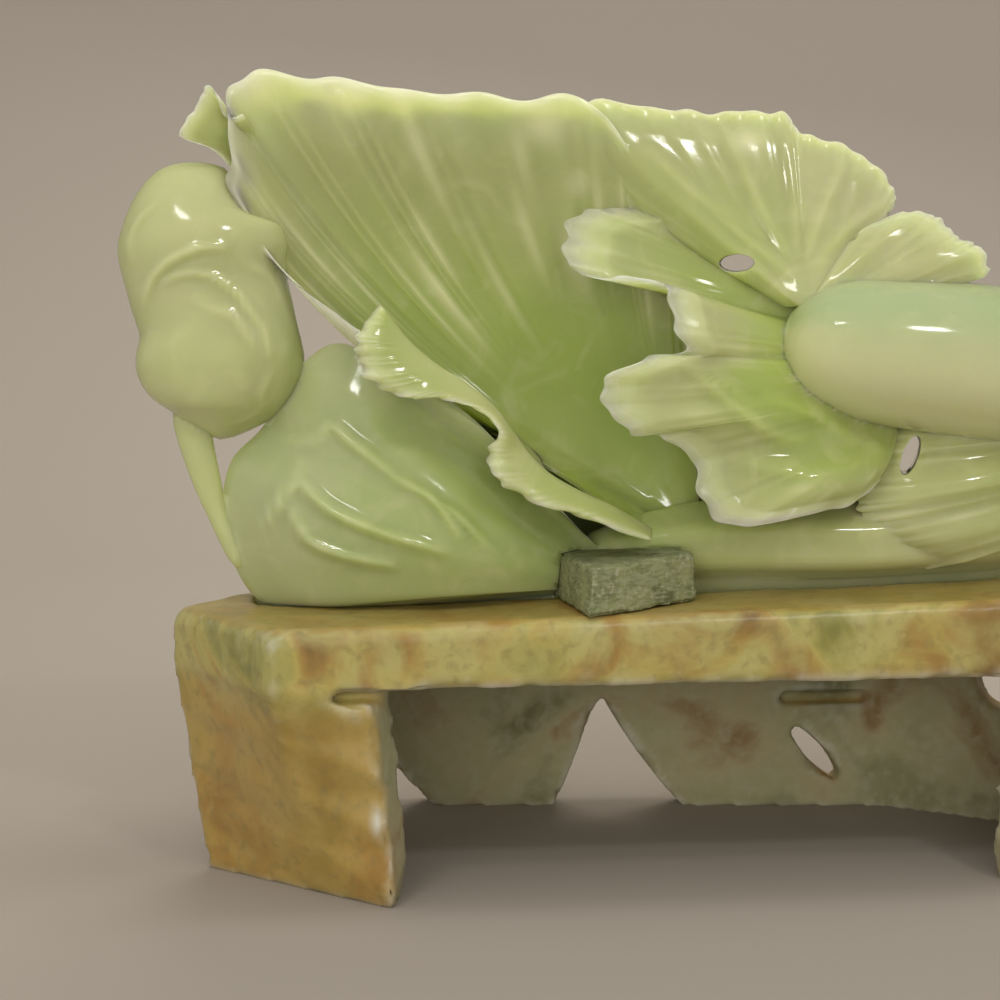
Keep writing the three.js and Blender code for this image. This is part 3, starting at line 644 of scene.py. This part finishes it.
# How sharply each of a leaf's features gathers at its rim: the power of v that it grows with.
RUFFLES_AT_RIM, CRIMPS_AT_RIM, ROLL_AT_RIM, VEINS_LEAVE_RIM, ROWS_AT_RIM = 6, 14, 8, 10, 0.85
# The two rates of the waves that scallop a rim, and how far and how often the ruffles fall out of step.
SCALLOP_RATES = (2.3, 3.7)
RUFFLE_WANDER, WANDER_RATE = 1.3, 11
# The widths of a vein and of the frost on it, as a share of the spacing.
VEIN_WIDTH, FROST_WIDTH = 0.16, 0.3
# Where along a leaf, from throat to rim, its veins rise, its edge thins, its frost starts and its deep
# green ends.
VEINS_RISE, EDGE_THINS, FROST_STARTS, DEEP_ENDS = (0.25, 0.75), 0.84, 0.6, (0.45, 0.9)
# What a leaf without ruffles or veins counts as having, for its scallops, its crimps and its frost.
PLAIN_SCALLOPS, PLAIN_CRIMPS, PLAIN_VEINS = 7, 8, 12
# How fast the ridge lines end at a rim, how much of the frost lies on the veins, and the powers and the loss
# towards the rim that shape a leaf's deep green.
CRESTS_END, VEIN_FROST = 8, 0.5
DEEP_LOW, DEEP_BREADTH, DEEP_LOSS = 0.7, 0.8, 0.8
# How much of its thickness a leaf loses from each side at its edge, and how much of the front's veins and
# deep green its back has.
EDGE_THINNING, BACK_VEINS, BACK_DEEP = 0.4, 0.5, 0.6


def carve_leaf(name, rim, throat, front, back, thick, lip=(1, 1), frill=(0, 0), roll=(0, 0), flutes=0,
               flute_depth=0.0, ruffles=0, ruffle_depth=(0, 0), scalloping=0.014, crests=(), veins=0,
               vein_height=0.0, crimping=0.5, streaks=0.0, frost=0.6, frosted_from=0.86, deep=(0.2, 0.2),
               cool=0.0, across=120, along=36, seed=0.0):
    # A leaf as a thin closed shell. u runs across it and v from its throat to its rim. Front and back bow by
    # their own sag, and flutes, ruffles, crimps and veins are then pushed in and out along Y.
    u = np.linspace(0, 1, across + 1)
    v = np.linspace(0, 1, along + 1) ** ROWS_AT_RIM
    power = along_curve(lip, u)[:, 0][:, None]
    reach = np.minimum(v / (1 - along_curve(frill, u)), 1)
    bow = (1 - reach) * reach**power * (power + 1) ** (power + 1) / power**power
    start, end = along_curve(throat, u)[:, None], along_curve(rim, u)[:, None]
    base = start * (1 - v)[None, :, None] + end * v[None, :, None]
    waves = np.sin(2 * np.pi * (ruffles or PLAIN_SCALLOPS) * SCALLOP_RATES[0] * u + seed)
    waves = waves * np.sin(2 * np.pi * SCALLOP_RATES[1] * u + 2 * seed)
    scallop = scalloping * waves[:, None] * v**RUFFLES_AT_RIM
    base = base + (base - start) * scallop[..., None]
    flute = flute_depth * (np.cos(2 * np.pi * flutes * u)[:, None] * np.sin(np.pi * v) * v)
    wander = RUFFLE_WANDER * np.sin(WANDER_RATE * u + seed)
    ruffle = along_curve(ruffle_depth, u) * np.sin(2 * np.pi * ruffles * u + wander)[:, None]
    ruffle = ruffle * v**RUFFLES_AT_RIM
    crimps = 3 * (ruffles or PLAIN_CRIMPS) + 5
    crimp = crimping * np.sin(2 * np.pi * crimps * u + 3 * seed)[:, None] * v**CRIMPS_AT_RIM
    vein = 0
    if veins:
        vein = -vein_height * ridges(u, veins, VEIN_WIDTH, seed)[:, None]
        vein = vein * smoothstep(*VEINS_RISE, v) * (1 - v**VEINS_LEAVE_RIM)
    edge = smoothstep(EDGE_THINS, 1.0, v)[None, :]
    depth = (thick[0] * (1 - v) + thick[1] * v)[None, :]
    faces = []
    for side, sag in enumerate((front, back)):
        grid = base + along_curve(sag, u)[:, None] * bow[..., None]
        grid[..., 1] += flute + ruffle + crimp + side * depth + vein * (BACK_VEINS if side else 1)
        grid[..., 1] += along_curve(roll, u) * v**ROLL_AT_RIM
        grid[..., 1] += (-EDGE_THINNING if side else EDGE_THINNING) * depth * edge
        if side == 0 and crests:
            grid[..., 1] -= crest_push(grid, crests) * np.minimum(1, CRESTS_END * (1 - v))
        faces.append(grid)
    points, triangles = closed_grid(*faces)
    veined_frost = VEIN_FROST * smoothstep(FROST_STARTS, 1.0, v)[None, :]
    veined_frost = veined_frost * ridges(u, veins or PLAIN_VEINS, FROST_WIDTH, seed)[:, None]
    rim_frost = frost * (smoothstep(frosted_from, 1.0, v)[None, :] + veined_frost)
    greenness = along_curve(deep, u)[:, 0][:, None] * np.sin(np.pi * v**DEEP_LOW)[None, :] ** DEEP_BREADTH
    greenness = (greenness * (1 - DEEP_LOSS * smoothstep(*DEEP_ENDS, v)[None, :])).ravel()
    pale = streaks * vein_streaks(u, v, veins, seed).ravel() if veins else np.zeros(u.size * v.size)
    keep_part(name, points, triangles, frost=np.tile(rim_frost.ravel(), 2), cool=cool,
              deep=np.concatenate([greenness, greenness * BACK_DEEP]), pale=np.tile(pale, 2))


# The power that rounds a stalk's ends, how far round a stalk its face reaches, and where its upper side
# begins and is full.
END_ROUNDING = 8
FACE_REACH, UPPER_SIDE = (0, 0.4), (-0.35, 0.6)


def carve_stalk(name, line, radii, sides=48, rings=44, ribs=0, rib_depth=0.0, spiral=None, crests=(),
                frost=0.0, deep=0.1, cool=0.0, creamy=0.0):
    # A fleshy stalk: rings about a curved line, with half its depth and half its height at a few stations.
    # A spiral, given by its middle, radius, turns and depth, winds round its face.
    t = np.linspace(0, 1, rings + 1)
    path = along_curve(line, t)
    size = along_curve(radii, t)
    tangent = np.gradient(path, axis=0)
    tangent /= np.linalg.norm(tangent, axis=1)[:, None]
    up = np.cross(tangent, (0, 1, 0))
    up /= np.linalg.norm(up, axis=1)[:, None]
    out = np.cross(up, tangent)
    rounding = np.sqrt(np.clip(1 - (2 * t - 1) ** END_ROUNDING, 0, 1))
    angle = np.linspace(0, 2 * np.pi, sides, endpoint=False)
    ribbed = 1 + rib_depth * np.cos(ribs * angle)[None, :] * rounding[:, None]
    points = (
        path[:, None]
        + out[:, None] * (np.cos(angle)[None, :] * ribbed * (size[:, 0] * rounding)[:, None])[..., None]
        + up[:, None] * (np.sin(angle)[None, :] * ribbed * (size[:, 1] * rounding)[:, None])[..., None]
    )
    facing = smoothstep(*FACE_REACH, -np.cos(angle))[None, :]
    if spiral:
        middle, radius, turns, fold_depth = spiral
        x, z = points[..., 0] - middle[0], points[..., 2] - middle[1]
        reach = np.clip(np.hypot(x, z) / radius, 0, 1)
        fold = np.sin(2 * np.pi * turns * reach + np.arctan2(z, x)) * np.sin(np.pi * reach)
        points[..., 1] -= fold_depth * fold * facing
    if crests:
        points[..., 1] -= crest_push(points, crests) * facing
    ids = np.arange((rings + 1) * sides).reshape(rings + 1, sides)
    a, b = ids[:-1], np.roll(ids, -1, axis=1)[:-1]
    c, d = np.roll(ids, -1, axis=1)[1:], ids[1:]
    triangles = np.concatenate([
        np.stack([a.ravel(), b.ravel(), c.ravel()], 1), np.stack([a.ravel(), c.ravel(), d.ravel()], 1),
    ])
    upper = np.broadcast_to(smoothstep(*UPPER_SIDE, np.sin(angle)), ids.shape).ravel()
    keep_part(name, points.reshape(-1, 3), triangles, frost=frost, deep=deep, cool=cool * upper,
              pale=creamy * (1 - upper))


# The leaves and stalks, in millimetres in the seat's frame, whose origin is the middle of the slab's top.
carve_leaf(
    "open_leaf",
    rim=[
        [-13, -31, 20], [-29, -37, 28], [-42, -38, 35], [-50, -38, 43], [-56, -38, 53], [-68, -38, 64],
        [-83, -36, 73], [-95, -33, 80], [-104, -28, 87], [-113, -22, 94], [-122, -21, 104], [-128, -17, 118],
        [-128, -12, 134], [-126, -4, 151], [-104, 1, 152], [-79, 3, 148], [-49, 4, 145], [-23, 4, 143],
        [-8, 4, 124], [9, 4, 99],
    ],
    throat=[[-12, -20, 11], [-4, -14, 15], [6, -6, 24]],
    front=[[0, 12, 0], [2, 32, -2], [2, 38, -4], [-6, 36, -4], [-10, 30, -6], [-6, 20, -4], [0, 8, 0]],
    back=[[0, 14, 0], [2, 36, -2], [2, 42, -4], [-6, 42, -4], [-10, 38, -6], [-6, 30, -4], [0, 22, 0]],
    lip=[2.4, 2.4, 2.4, 2, 1, 1, 1], frill=[0.05, 0.05, 0.05, 0.05, 0, 0, 0], roll=[0, 0, 3, 10, 5, 0, 0],
    thick=(12, 4), flutes=9, flute_depth=0.7, ruffles=9, ruffle_depth=[2, 2, 2, 1.2, 0.5, 0.3, 0.3],
    scalloping=0.009, veins=60, vein_height=0.45, streaks=0.9, frost=0.55,
    deep=[0.5, 0.9, 1, 0.9, 0.7, 0.7, 0.6], across=310, along=46, seed=0.3,
)
carve_leaf(
    "rolled_frill",
    rim=[
        [-88, -33, 86], [-94, -37, 79], [-95, -39, 73], [-92, -40, 66], [-83, -41, 61], [-72, -41, 60],
        [-63, -42, 57], [-57, -42, 51], [-60, -43, 45], [-58, -43, 38], [-48, -43, 31], [-34, -42, 26],
        [-15, -39, 18],
    ],
    throat=[
        [-86, -33, 84], [-81, -34, 77], [-76, -35, 72], [-71, -36, 68], [-66, -36, 65], [-61, -36, 61],
        [-56, -36, 56], [-52, -36, 50], [-48, -36, 44], [-42, -36, 38], [-34, -36, 33], [-24, -35, 28],
        [-13, -32, 21],
    ],
    front=[[0, -2, 0], [0, -2, 0]], back=[[0, -1, 0], [0, -1, 0]], thick=(4.5, 2.2),
    ruffles=8, ruffle_depth=[1.9, 1.9], scalloping=0.06, veins=34, vein_height=0.5, frost=0.8,
    frosted_from=0.4, deep=[0.35, 0.35], across=200, along=14, seed=2.6,
)
carve_leaf(
    "ruffled_leaf",
    rim=[
        [-4, 6, 113], [-17, 6, 112], [-27, -1, 111], [-33, -10, 104], [-33, -16, 96], [-27, -20, 92],
        [-17, -26, 92], [-8, -33, 89], [-7, -39, 79], [-4, -37, 71], [-15, -42, 70], [-28, -47, 64],
        [-27, -46, 56], [-20, -45, 49], [-10, -40, 47], [-1, -34, 39], [1, -38, 28], [9, -43, 22],
        [27, -42, 24], [43, -38, 26], [54, -30, 32],
    ],
    throat=[[49, -16, 84], [59, -18, 63], [63, -18, 45]],
    front=[[0, 4, 0], [0, 10, 0], [0, 9, 0], [0, 3, 0], [0, -4, 0], [0, -7, 0], [0, -2, 0]],
    back=[[0, 20, 0], [0, 24, 0], [0, 24, 0], [0, 22, 0], [0, 20, 0], [0, 18, 0], [0, 14, 0]],
    lip=[1.5, 1.5], frill=[0.14, 0.14], thick=(14, 3.5), flutes=6, flute_depth=0.4, ruffles=9,
    ruffle_depth=[1.5, 1.5], scalloping=0.016, veins=34, vein_height=0.3, streaks=0.4, frost=0.8,
    frosted_from=0.82, deep=[0.4, 0.6, 0.65, 0.7, 0.6, 0.4],
    crests=[
        ([(-4, 68), (11, 55), (21, 47), (30, 45)], 1.8, 2.2), ([(4, 65), (17, 53)], 1.2, 1.8),
        ([(21, 57), (34, 52), (46, 44)], 1.2, 2.0), ([(7, 41), (30, 36), (45, 38)], 1.3, 2.4),
    ], across=180, along=38, seed=0.8,
)
carve_leaf(
    "fan_leaf",
    rim=[
        [13, 0, 94], [-5, 6, 107], [-19, 10, 125], [-25, 10, 143], [-5, 10, 142], [11, 10, 140],
        [25, 10, 140], [37, 9, 139], [41, 5, 133], [51, 3, 130], [61, 1, 124], [67, 0, 117], [67, -3, 111],
        [61, -7, 106], [49, -13, 98],
    ],
    throat=[[31, -16, 82], [36, -22, 83], [43, -20, 87]],
    front=[[0, 2, 0], [0, 4, 0], [0, 4, 0], [0, 2, 0], [0, 0, 0]],
    back=[[0, 8, 0], [0, 12, 0], [0, 14, 0], [0, 12, 0], [0, 8, 0]],
    thick=(12, 3.5), flutes=4, flute_depth=0.7, veins=14, vein_height=0.25, frost=0.5,
    deep=[0.35, 0.2, 0.1, 0.1],
    crests=[
        ([(13, 110), (21, 102), (33, 91)], 1.4, 2.0), ([(-5, 128), (7, 116), (25, 102)], 1.2, 2.2),
        ([(19, 133), (25, 116), (32, 98)], 1.2, 2.2), ([(37, 130), (37, 116), (35, 98)], 1.2, 2.0),
        ([(52, 124), (44, 110), (37, 97)], 1.2, 2.0), ([(64, 112), (52, 105), (40, 95)], 1.0, 1.8),
    ], across=130, along=32, seed=1.4,
)
carve_leaf(
    "leaf_tip",
    rim=[
        [54, -14, 104], [65, -17, 108.5], [74, -20, 107], [79, -24, 101], [86, -26, 97], [87, -24, 89],
        [74, -22, 91], [61, -20, 92], [52, -20, 90],
    ],
    throat=[[38, -21, 86], [41, -23, 80], [48, -21, 82]],
    front=[[0, -2, 0], [0, -2, 0], [0, -2, 0]], back=[[0, 2, 0], [0, 2, 0], [0, 2, 0]],
    thick=(8, 3), flutes=4, flute_depth=0.6, veins=9, vein_height=0.5, frost=1.0, deep=[0, 0],
    across=64, along=20, seed=2.1,
)
carve_leaf(
    "folded_leaf",
    rim=[
        [-37, -14, -1], [-72, -14, -2], [-104, -13, -2], [-123, -10, 0], [-132, -8, 13], [-134, -8, 29],
        [-131, -8, 42], [-122, -8, 51], [-116, -9, 61], [-109, -11, 70], [-98, -14, 75], [-80, -22, 66],
        [-62, -27, 53], [-44, -28, 32],
    ],
    throat=[[-26, -12, 0], [-24, -14, 5], [-25, -14, 13]],
    front=[[0, -8, 4], [0, -20, 4], [0, -26, 2], [0, -22, 0], [0, -8, 0], [0, -2, 0]],
    back=[[0, 14, 0], [0, 18, 0], [0, 18, 0], [0, 16, 0], [0, 14, 0], [0, 10, 0]],
    thick=(14, 6), flutes=4, flute_depth=0.7, scalloping=0, veins=9, vein_height=0.15, crimping=0, frost=0.2,
    deep=[0.2, 0.3, 0.5, 0.6],
    crests=[
        ([(-111, 41), (-117, 32), (-123, 23)], 2.4, 1.7),
        ([(-112, 38), (-104, 30), (-91, 24), (-74, 18)], 2.8, 1.9),
        ([(-115, 30), (-110, 21), (-101, 17), (-88, 14)], 2.4, 1.8),
        ([(-107, 49), (-102, 52), (-97, 48), (-87, 40)], 2.2, 1.7),
        ([(-85, 38), (-75, 32), (-68, 22)], 2.2, 1.7), ([(-125, 49), (-109, 48), (-102, 51)], 1.4, 1.8),
        ([(-79, 33), (-69, 28), (-60, 18)], 1.6, 1.6),
    ], cool=0.35, across=170, along=42, seed=0.5,
)
carve_leaf(
    "low_fold",
    rim=[[62, -12, 49], [55, -18, 40], [50, -24, 27], [54, -26, 14], [72, -24, 4]],
    throat=[[132, -10, 52], [134, -12, 38], [130, -10, 22]],
    front=[[0, -8, 0], [0, -12, 0], [0, -10, 0]], back=[[0, 14, 0], [0, 16, 0], [0, 14, 0]],
    thick=(16, 8), flutes=3, flute_depth=1.8, veins=8, vein_height=0.5, streaks=0.5, frost=0.5,
    deep=[0.2, 0.2], across=70, along=30, seed=0.1,
)
carve_leaf(
    "leaf_scrap",
    rim=[
        [-124, 0, 141], [-129, -3, 140], [-133, -4, 149], [-137, -5, 143], [-142, -6, 135], [-135, -6, 132],
        [-130, -5, 128], [-125, -3, 121],
    ],
    throat=[[-119, 10, 133], [-119, 10, 123]], front=[[0, 0, 0], [0, 0, 0]], back=[[0, 1, 0], [0, 1, 0]],
    thick=(5, 3), frost=0.9, deep=[0, 0], across=60, along=16,
)
carve_leaf(
    "upper_back_leaf",
    rim=[
        [-66, 22, 56], [-82, 21, 74], [-95, 19, 93], [-107, 16, 107], [-115, 12, 122], [-117, 10, 136],
        [-111, 8, 146], [-90, 8, 145], [-60, 9, 142], [-30, 10, 140], [0, 12, 138], [24, 13, 136],
        [44, 11, 127], [58, 7, 114],
    ],
    throat=[[52, 24, 24], [72, 24, 44], [80, 18, 60]],
    front=[[0, 16, 0], [0, 26, 0], [0, 25, 0], [0, 18, 0], [0, 8, 0]],
    back=[[0, 22, 0], [0, 31, 0], [0, 31, 0], [0, 24, 0], [0, 14, 0]],
    thick=(10, 3), flutes=6, flute_depth=1.6, ruffles=5, ruffle_depth=[1.0, 1.0], veins=30, vein_height=0.6,
    frost=0.5, deep=[0.3, 0.4, 0.4], across=120, along=32, seed=0.9,
)
carve_leaf(
    "lower_back_leaf",
    rim=[
        [-52, 27, 70], [-82, 17, 66], [-106, 6, 54], [-122, 0, 40], [-128, 0, 18], [-118, 2, 0],
        [-90, 8, -1], [-50, 16, -1], [0, 20, -1],
    ],
    throat=[[52, 18, 44], [56, 22, 24], [50, 18, 4]],
    front=[[0, 8, 0], [0, 6, 0], [0, 0, 0]], back=[[0, 10, 0], [0, 16, 0], [0, 8, 0]],
    thick=(14, 5), flutes=4, flute_depth=1.6, veins=18, vein_height=0.6, frost=0.5, deep=[0.3, 0.3], cool=0.3,
    across=90, along=28, seed=1.7,
)
carve_stalk(
    "front_stalk", [[29, -16, 75], [48, -19, 70], [88, -19, 64.5], [126, -13, 57], [156, -4, 48]],
    [(15, 12), (23, 20), (26, 22.5), (23, 21), (10, 10)], sides=64, rings=60, cool=0.75, deep=0, creamy=0.55,
)
carve_stalk(
    "seat_stalk", [[-34, -6, 10], [10, -9, 14], [60, -9, 13], [112, -7, 20], [154, -2, 42]],
    [(12, 8), (16, 12), (18, 12), (17, 15), (9, 9)], ribs=7, rib_depth=0.03, deep=0.2, creamy=0.2,
)
carve_stalk(
    "upper_back_stalk", [[6, 12, 88], [40, 18, 84], [84, 17, 70], [126, 11, 58], [156, 4, 49]],
    [(12, 12), (20, 18), (23, 20), (21, 19), (9, 9)], ribs=9, rib_depth=0.025, cool=0.5,
)
carve_stalk(
    "lower_back_stalk", [[0, 14, 30], [40, 20, 30], [84, 20, 28], [126, 13, 34], [156, 3, 44]],
    [(14, 20), (18, 22), (21, 22), (19, 20), (9, 9)], ribs=9, rib_depth=0.025, cool=0.5,
)
carve_stalk(
    "root_end", [[122, 0, 50], [142, 0, 48], [163, 0, 46]], [(18, 20), (20, 21), (15, 16)],
    ribs=10, rib_depth=0.04, frost=0.3, rings=30,
)
carve_stalk(
    "strut", [[-143, -4, 60], [-141, -5, 48], [-138, -5, 35], [-135, -5, 25], [-128, -6, 10]],
    [(4, 6), (3.5, 5), (3, 4), (3, 3), (3.5, 4)], sides=20, rings=30, frost=0.4,
)
carve_stalk(
    "curled_leaf",
    [
        [-130, 2, 126], [-136, 1, 116], [-137, 0, 105], [-136, -1, 93], [-133.5, -3, 81], [-133, -5, 69],
        [-133, -4, 58], [-134, -4, 48],
    ],
    [(7, 8), (13, 18.5), (17, 24), (16, 23), (16, 22.5), (17, 24), (14, 18.5), (6, 7)],
    crests=[
        ([(-154, 89), (-152, 93), (-150, 96), (-145, 100), (-137, 103), (-131, 103)], 1.9, 1.4),
        ([(-157, 100), (-157, 106), (-154, 112), (-149, 116)], 0.9, 1.2),
        ([(-148, 94), (-141, 96), (-134, 95), (-128, 91), (-124, 86), (-120, 80), (-119, 73)], 1.5, 1.3),
        ([(-139, 89), (-134, 86), (-129, 84), (-125, 79), (-123, 74)], 0.9, 1.3),
        ([(-125, 99), (-118, 94), (-114, 86), (-112, 79)], 0.8, 1.4),
        ([(-118, 68), (-121, 62), (-123, 56), (-130, 53)], 0.8, 1.3),
    ],
    spiral=((-133, 69), 22, 1.3, 0.35), sides=92, rings=74, frost=0.15, deep=0.12, creamy=0.2,
)


# The shells are joined into one stone, sawn flat where it sits on the slab, and given the foot that
# stands in the recess. The offcut's place and the openings through the stone are cut out of it.
FOOT_HALF_LENGTH, FOOT_HALF_DEPTH, FOOT_OFFSET = 126, 25, 9
FOOT_BOTTOM, FOOT_TOP = -2.2, 11.2
FOOT_SIDES = 144
SEAT_GAP = 0.3
# The stone is sawn off under the seat with a box, from one corner to the other.
SAWN_OFF = ((-400, -200, -200), (400, 200, SEAT_GAP))
# The openings: a name, the middle, half the width and height, the turn in radians, and the aim of the bore
# in degrees to the right and up.
OPENINGS = (
    ("small_gap", (19, -2, 95), (5.2, 2.6), 0.0, (13, 0)),
    ("slanted_gap", (66, -20, 38), (2.3, 6), -0.35, (17, -5)),
)
BORE_SIDES, BORE_LENGTH = 40, 216
# In metres and radians: points of the joined stone that are closer are one, and sharper edges look sharp.
WELD = 0.02 * MM
SHARP_FROM = math.radians(55)


def foot_part(name):
    # The carving's foot: an oblong with full round corners, as high as the recess needs.
    angle = np.linspace(0, 2 * np.pi, FOOT_SIDES, endpoint=False)
    x = np.sign(np.cos(angle)) * np.sqrt(np.abs(np.cos(angle))) * FOOT_HALF_LENGTH
    y = np.sign(np.sin(angle)) * np.sqrt(np.abs(np.sin(angle))) * FOOT_HALF_DEPTH + FOOT_OFFSET
    work = bmesh.new()
    ring = [work.verts.new((px, py, FOOT_BOTTOM)) for px, py in zip(x, y)]
    bottom = work.faces.new(ring)
    raised = bmesh.ops.extrude_face_region(work, geom=[bottom])
    lifted = [item for item in raised["geom"] if isinstance(item, bmesh.types.BMVert)]
    bmesh.ops.translate(work, verts=lifted, vec=(0, 0, FOOT_TOP - FOOT_BOTTOM))
    return tool_part(name, work)


def tool_part(name, work):
    # A closed mesh that is joined to the stone or cut out of it.
    bmesh.ops.triangulate(work, faces=work.faces)
    bmesh.ops.recalc_face_normals(work, faces=work.faces)
    mesh = bpy.data.meshes.new(name)
    work.to_mesh(mesh)
    work.free()
    part = bpy.data.objects.new(name, mesh)
    bpy.context.collection.objects.link(part)
    return part


def box_part(name, low, high):
    work = bmesh.new()
    bmesh.ops.create_cube(work, size=1)
    size = Vector(high) - Vector(low)
    middle = (Vector(high) + Vector(low)) / 2
    placed = Matrix.Translation(middle) @ Matrix.Diagonal((*size, 1))
    bmesh.ops.transform(work, matrix=placed, verts=work.verts)
    return tool_part(name, work)


def opening_part(name, place, radii, turn, aim):
    # An oval bore right through the stone.
    work = bmesh.new()
    bmesh.ops.create_cone(work, cap_ends=True, segments=BORE_SIDES, radius1=1, radius2=1, depth=BORE_LENGTH)
    shape = Matrix.Diagonal((radii[0], radii[1], 1, 1))
    turned = Matrix.Rotation(math.pi / 2, 4, "X") @ Matrix.Rotation(turn, 4, "Z") @ shape
    aimed = Matrix.Rotation(-math.radians(aim[0]), 4, "Z") @ Matrix.Rotation(math.radians(aim[1]), 4, "X")
    bmesh.ops.transform(work, matrix=Matrix.Translation(place) @ aimed @ turned, verts=work.verts)
    return tool_part(name, work)


def combined(stone, part, operation):
    # Joins a part to the stone or cuts it out, and drops the part.
    modifier = stone.modifiers.new("join", "BOOLEAN")
    modifier.solver = "MANIFOLD"
    modifier.operation = operation
    modifier.object = part
    settle(stone)
    bpy.data.objects.remove(part)


def block_room():
    # The offcut's place with a small gap all round, in the seat's frame.
    room = loose_copy("offcut_block", "block_room")
    room.data.transform(SEAT.inverted())
    work = bmesh.new()
    work.from_mesh(room.data)
    middle = sum((vert.co for vert in work.verts), Vector()) / len(work.verts)
    for vert in work.verts:
        vert.co += (vert.co - middle).normalized() * 2 * SEAT_GAP
    bpy.data.objects.remove(room)
    return tool_part("block_room", work)


def join_stone():
    stone = stone_parts[0]
    for part in stone_parts[1:]:
        combined(stone, part, "UNION")
    for opening in OPENINGS:
        combined(stone, opening_part(*opening), "DIFFERENCE")
    combined(stone, box_part("below_seat", *SAWN_OFF), "DIFFERENCE")
    combined(stone, foot_part("foot"), "UNION")
    combined(stone, block_room(), "DIFFERENCE")
    return stone


# Where the top edge is bruised to a cream white, in X and Z, and how far. A bruise is lower than it is
# wide, and reaches back only over the front leaves.
BRUISES = (
    (-94, 147, 7), (-79, 146, 4), (-36, 137, 6), (-26, 120, 3), (25, 131, 5), (-120, 149, 5), (-63, 147, 4),
)
BRUISE_HEIGHT = 0.6
BRUISE_BACK = 15
# How often each look is averaged with its neighbours.
BLUR_ROUNDS = {"frost": 3, "deep": 14, "cool": 14, "pale": 1}


def remember_looks(mesh):
    # Gives each point of the joined stone the looks of the nearest point of the shells.
    points = np.concatenate(remembered_points)
    tree = KDTree(len(points))
    for index, point in enumerate(points):
        tree.insert(point, index)
    tree.balance()
    places, _ = point_arrays(mesh)
    nearest = np.array([tree.find(place)[1] for place in places])
    pairs = edge_pairs(mesh)
    for look in LOOKS:
        values = np.concatenate(remembered_looks[look])[nearest]
        if look == "pale":
            for x, z, radius in BRUISES:
                away = ((places[:, 0] - x) / radius) ** 2
                away = away + ((places[:, 2] - z) / (BRUISE_HEIGHT * radius)) ** 2
                values = np.maximum(values, np.exp(-away) * (places[:, 1] < BRUISE_BACK))
        store(mesh, look, spread(values, pairs, BLUR_ROUNDS[look]))


# Colours that the green stone takes, and how far light scatters in it: metres, by red, green and blue.
COOL_GREEN = (0.40, 0.50, 0.27)
DEEP_GREEN = (0.30, 0.41, 0.04)
CLOUD = (0.62, 0.63, 0.34)
FROSTED = (0.62, 0.68, 0.38)
CREAM = (0.76, 0.75, 0.46)
SCATTER, SCATTER_BY_COLOUR = 0.010, (0.9, 1.0, 0.6)


def green_stone():
    material, nodes, links, shader = shader_nodes("translucent_green_stone")
    place = nodes.new("ShaderNodeTexCoord").outputs["Object"]
    clouds = noise_at(nodes, links, place, 14, 4, 0.8)
    wisps = noise_at(nodes, links, place, 60, 5, 1.5)
    specks = noise_at(nodes, links, place, 500, 3)
    body = ramp(nodes, links, clouds, [
        (0.30, (0.39, 0.43, 0.17)), (0.50, (0.47, 0.49, 0.23)), (0.68, (0.55, 0.53, 0.30)),
    ])
    body = mixed(nodes, links, attribute(nodes, "cool"), body, COOL_GREEN)
    body = mixed(nodes, links, attribute(nodes, "deep"), body, DEEP_GREEN)
    body = mixed(nodes, links, faded(nodes, links, wisps, 0.50, 0.75, 0.35), body, CLOUD)
    body = mixed(nodes, links, faded(nodes, links, attribute(nodes, "frost"), 0.1, 0.9, 0.8), body, FROSTED)
    body = mixed(nodes, links, attribute(nodes, "pale"), body, CREAM)
    links.new(body, shader.inputs["Base Color"])
    rough = faded(nodes, links, attribute(nodes, "frost"), 0.1, 0.9, 0.3, first=0.11)
    links.new(rough, shader.inputs["Roughness"])
    shader.inputs["IOR"].default_value = 1.56
    shader.inputs["Subsurface Weight"].default_value = 1.0
    shader.inputs["Subsurface Radius"].default_value = SCATTER_BY_COLOUR
    shader.inputs["Subsurface Scale"].default_value = SCATTER
    bumped(nodes, links, shader, specks, 0.04, 0.0003)
    return material


def finish_carving():
    stone = join_stone()
    stone.name = "carved_cabbage"
    mesh = stone.data
    mesh.name = "carved_cabbage"
    remember_looks(mesh)
    mesh.transform(SEAT)
    work = bmesh.new()
    work.from_mesh(mesh)
    bmesh.ops.remove_doubles(work, verts=work.verts, dist=WELD)
    work.to_mesh(mesh)
    work.free()
    mesh.materials.clear()
    mesh.materials.append(green_stone())
    mesh.set_sharp_from_angle(angle=SHARP_FROM)
    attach(stone, "root")
    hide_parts("cabbage_carving")


finish_carving()
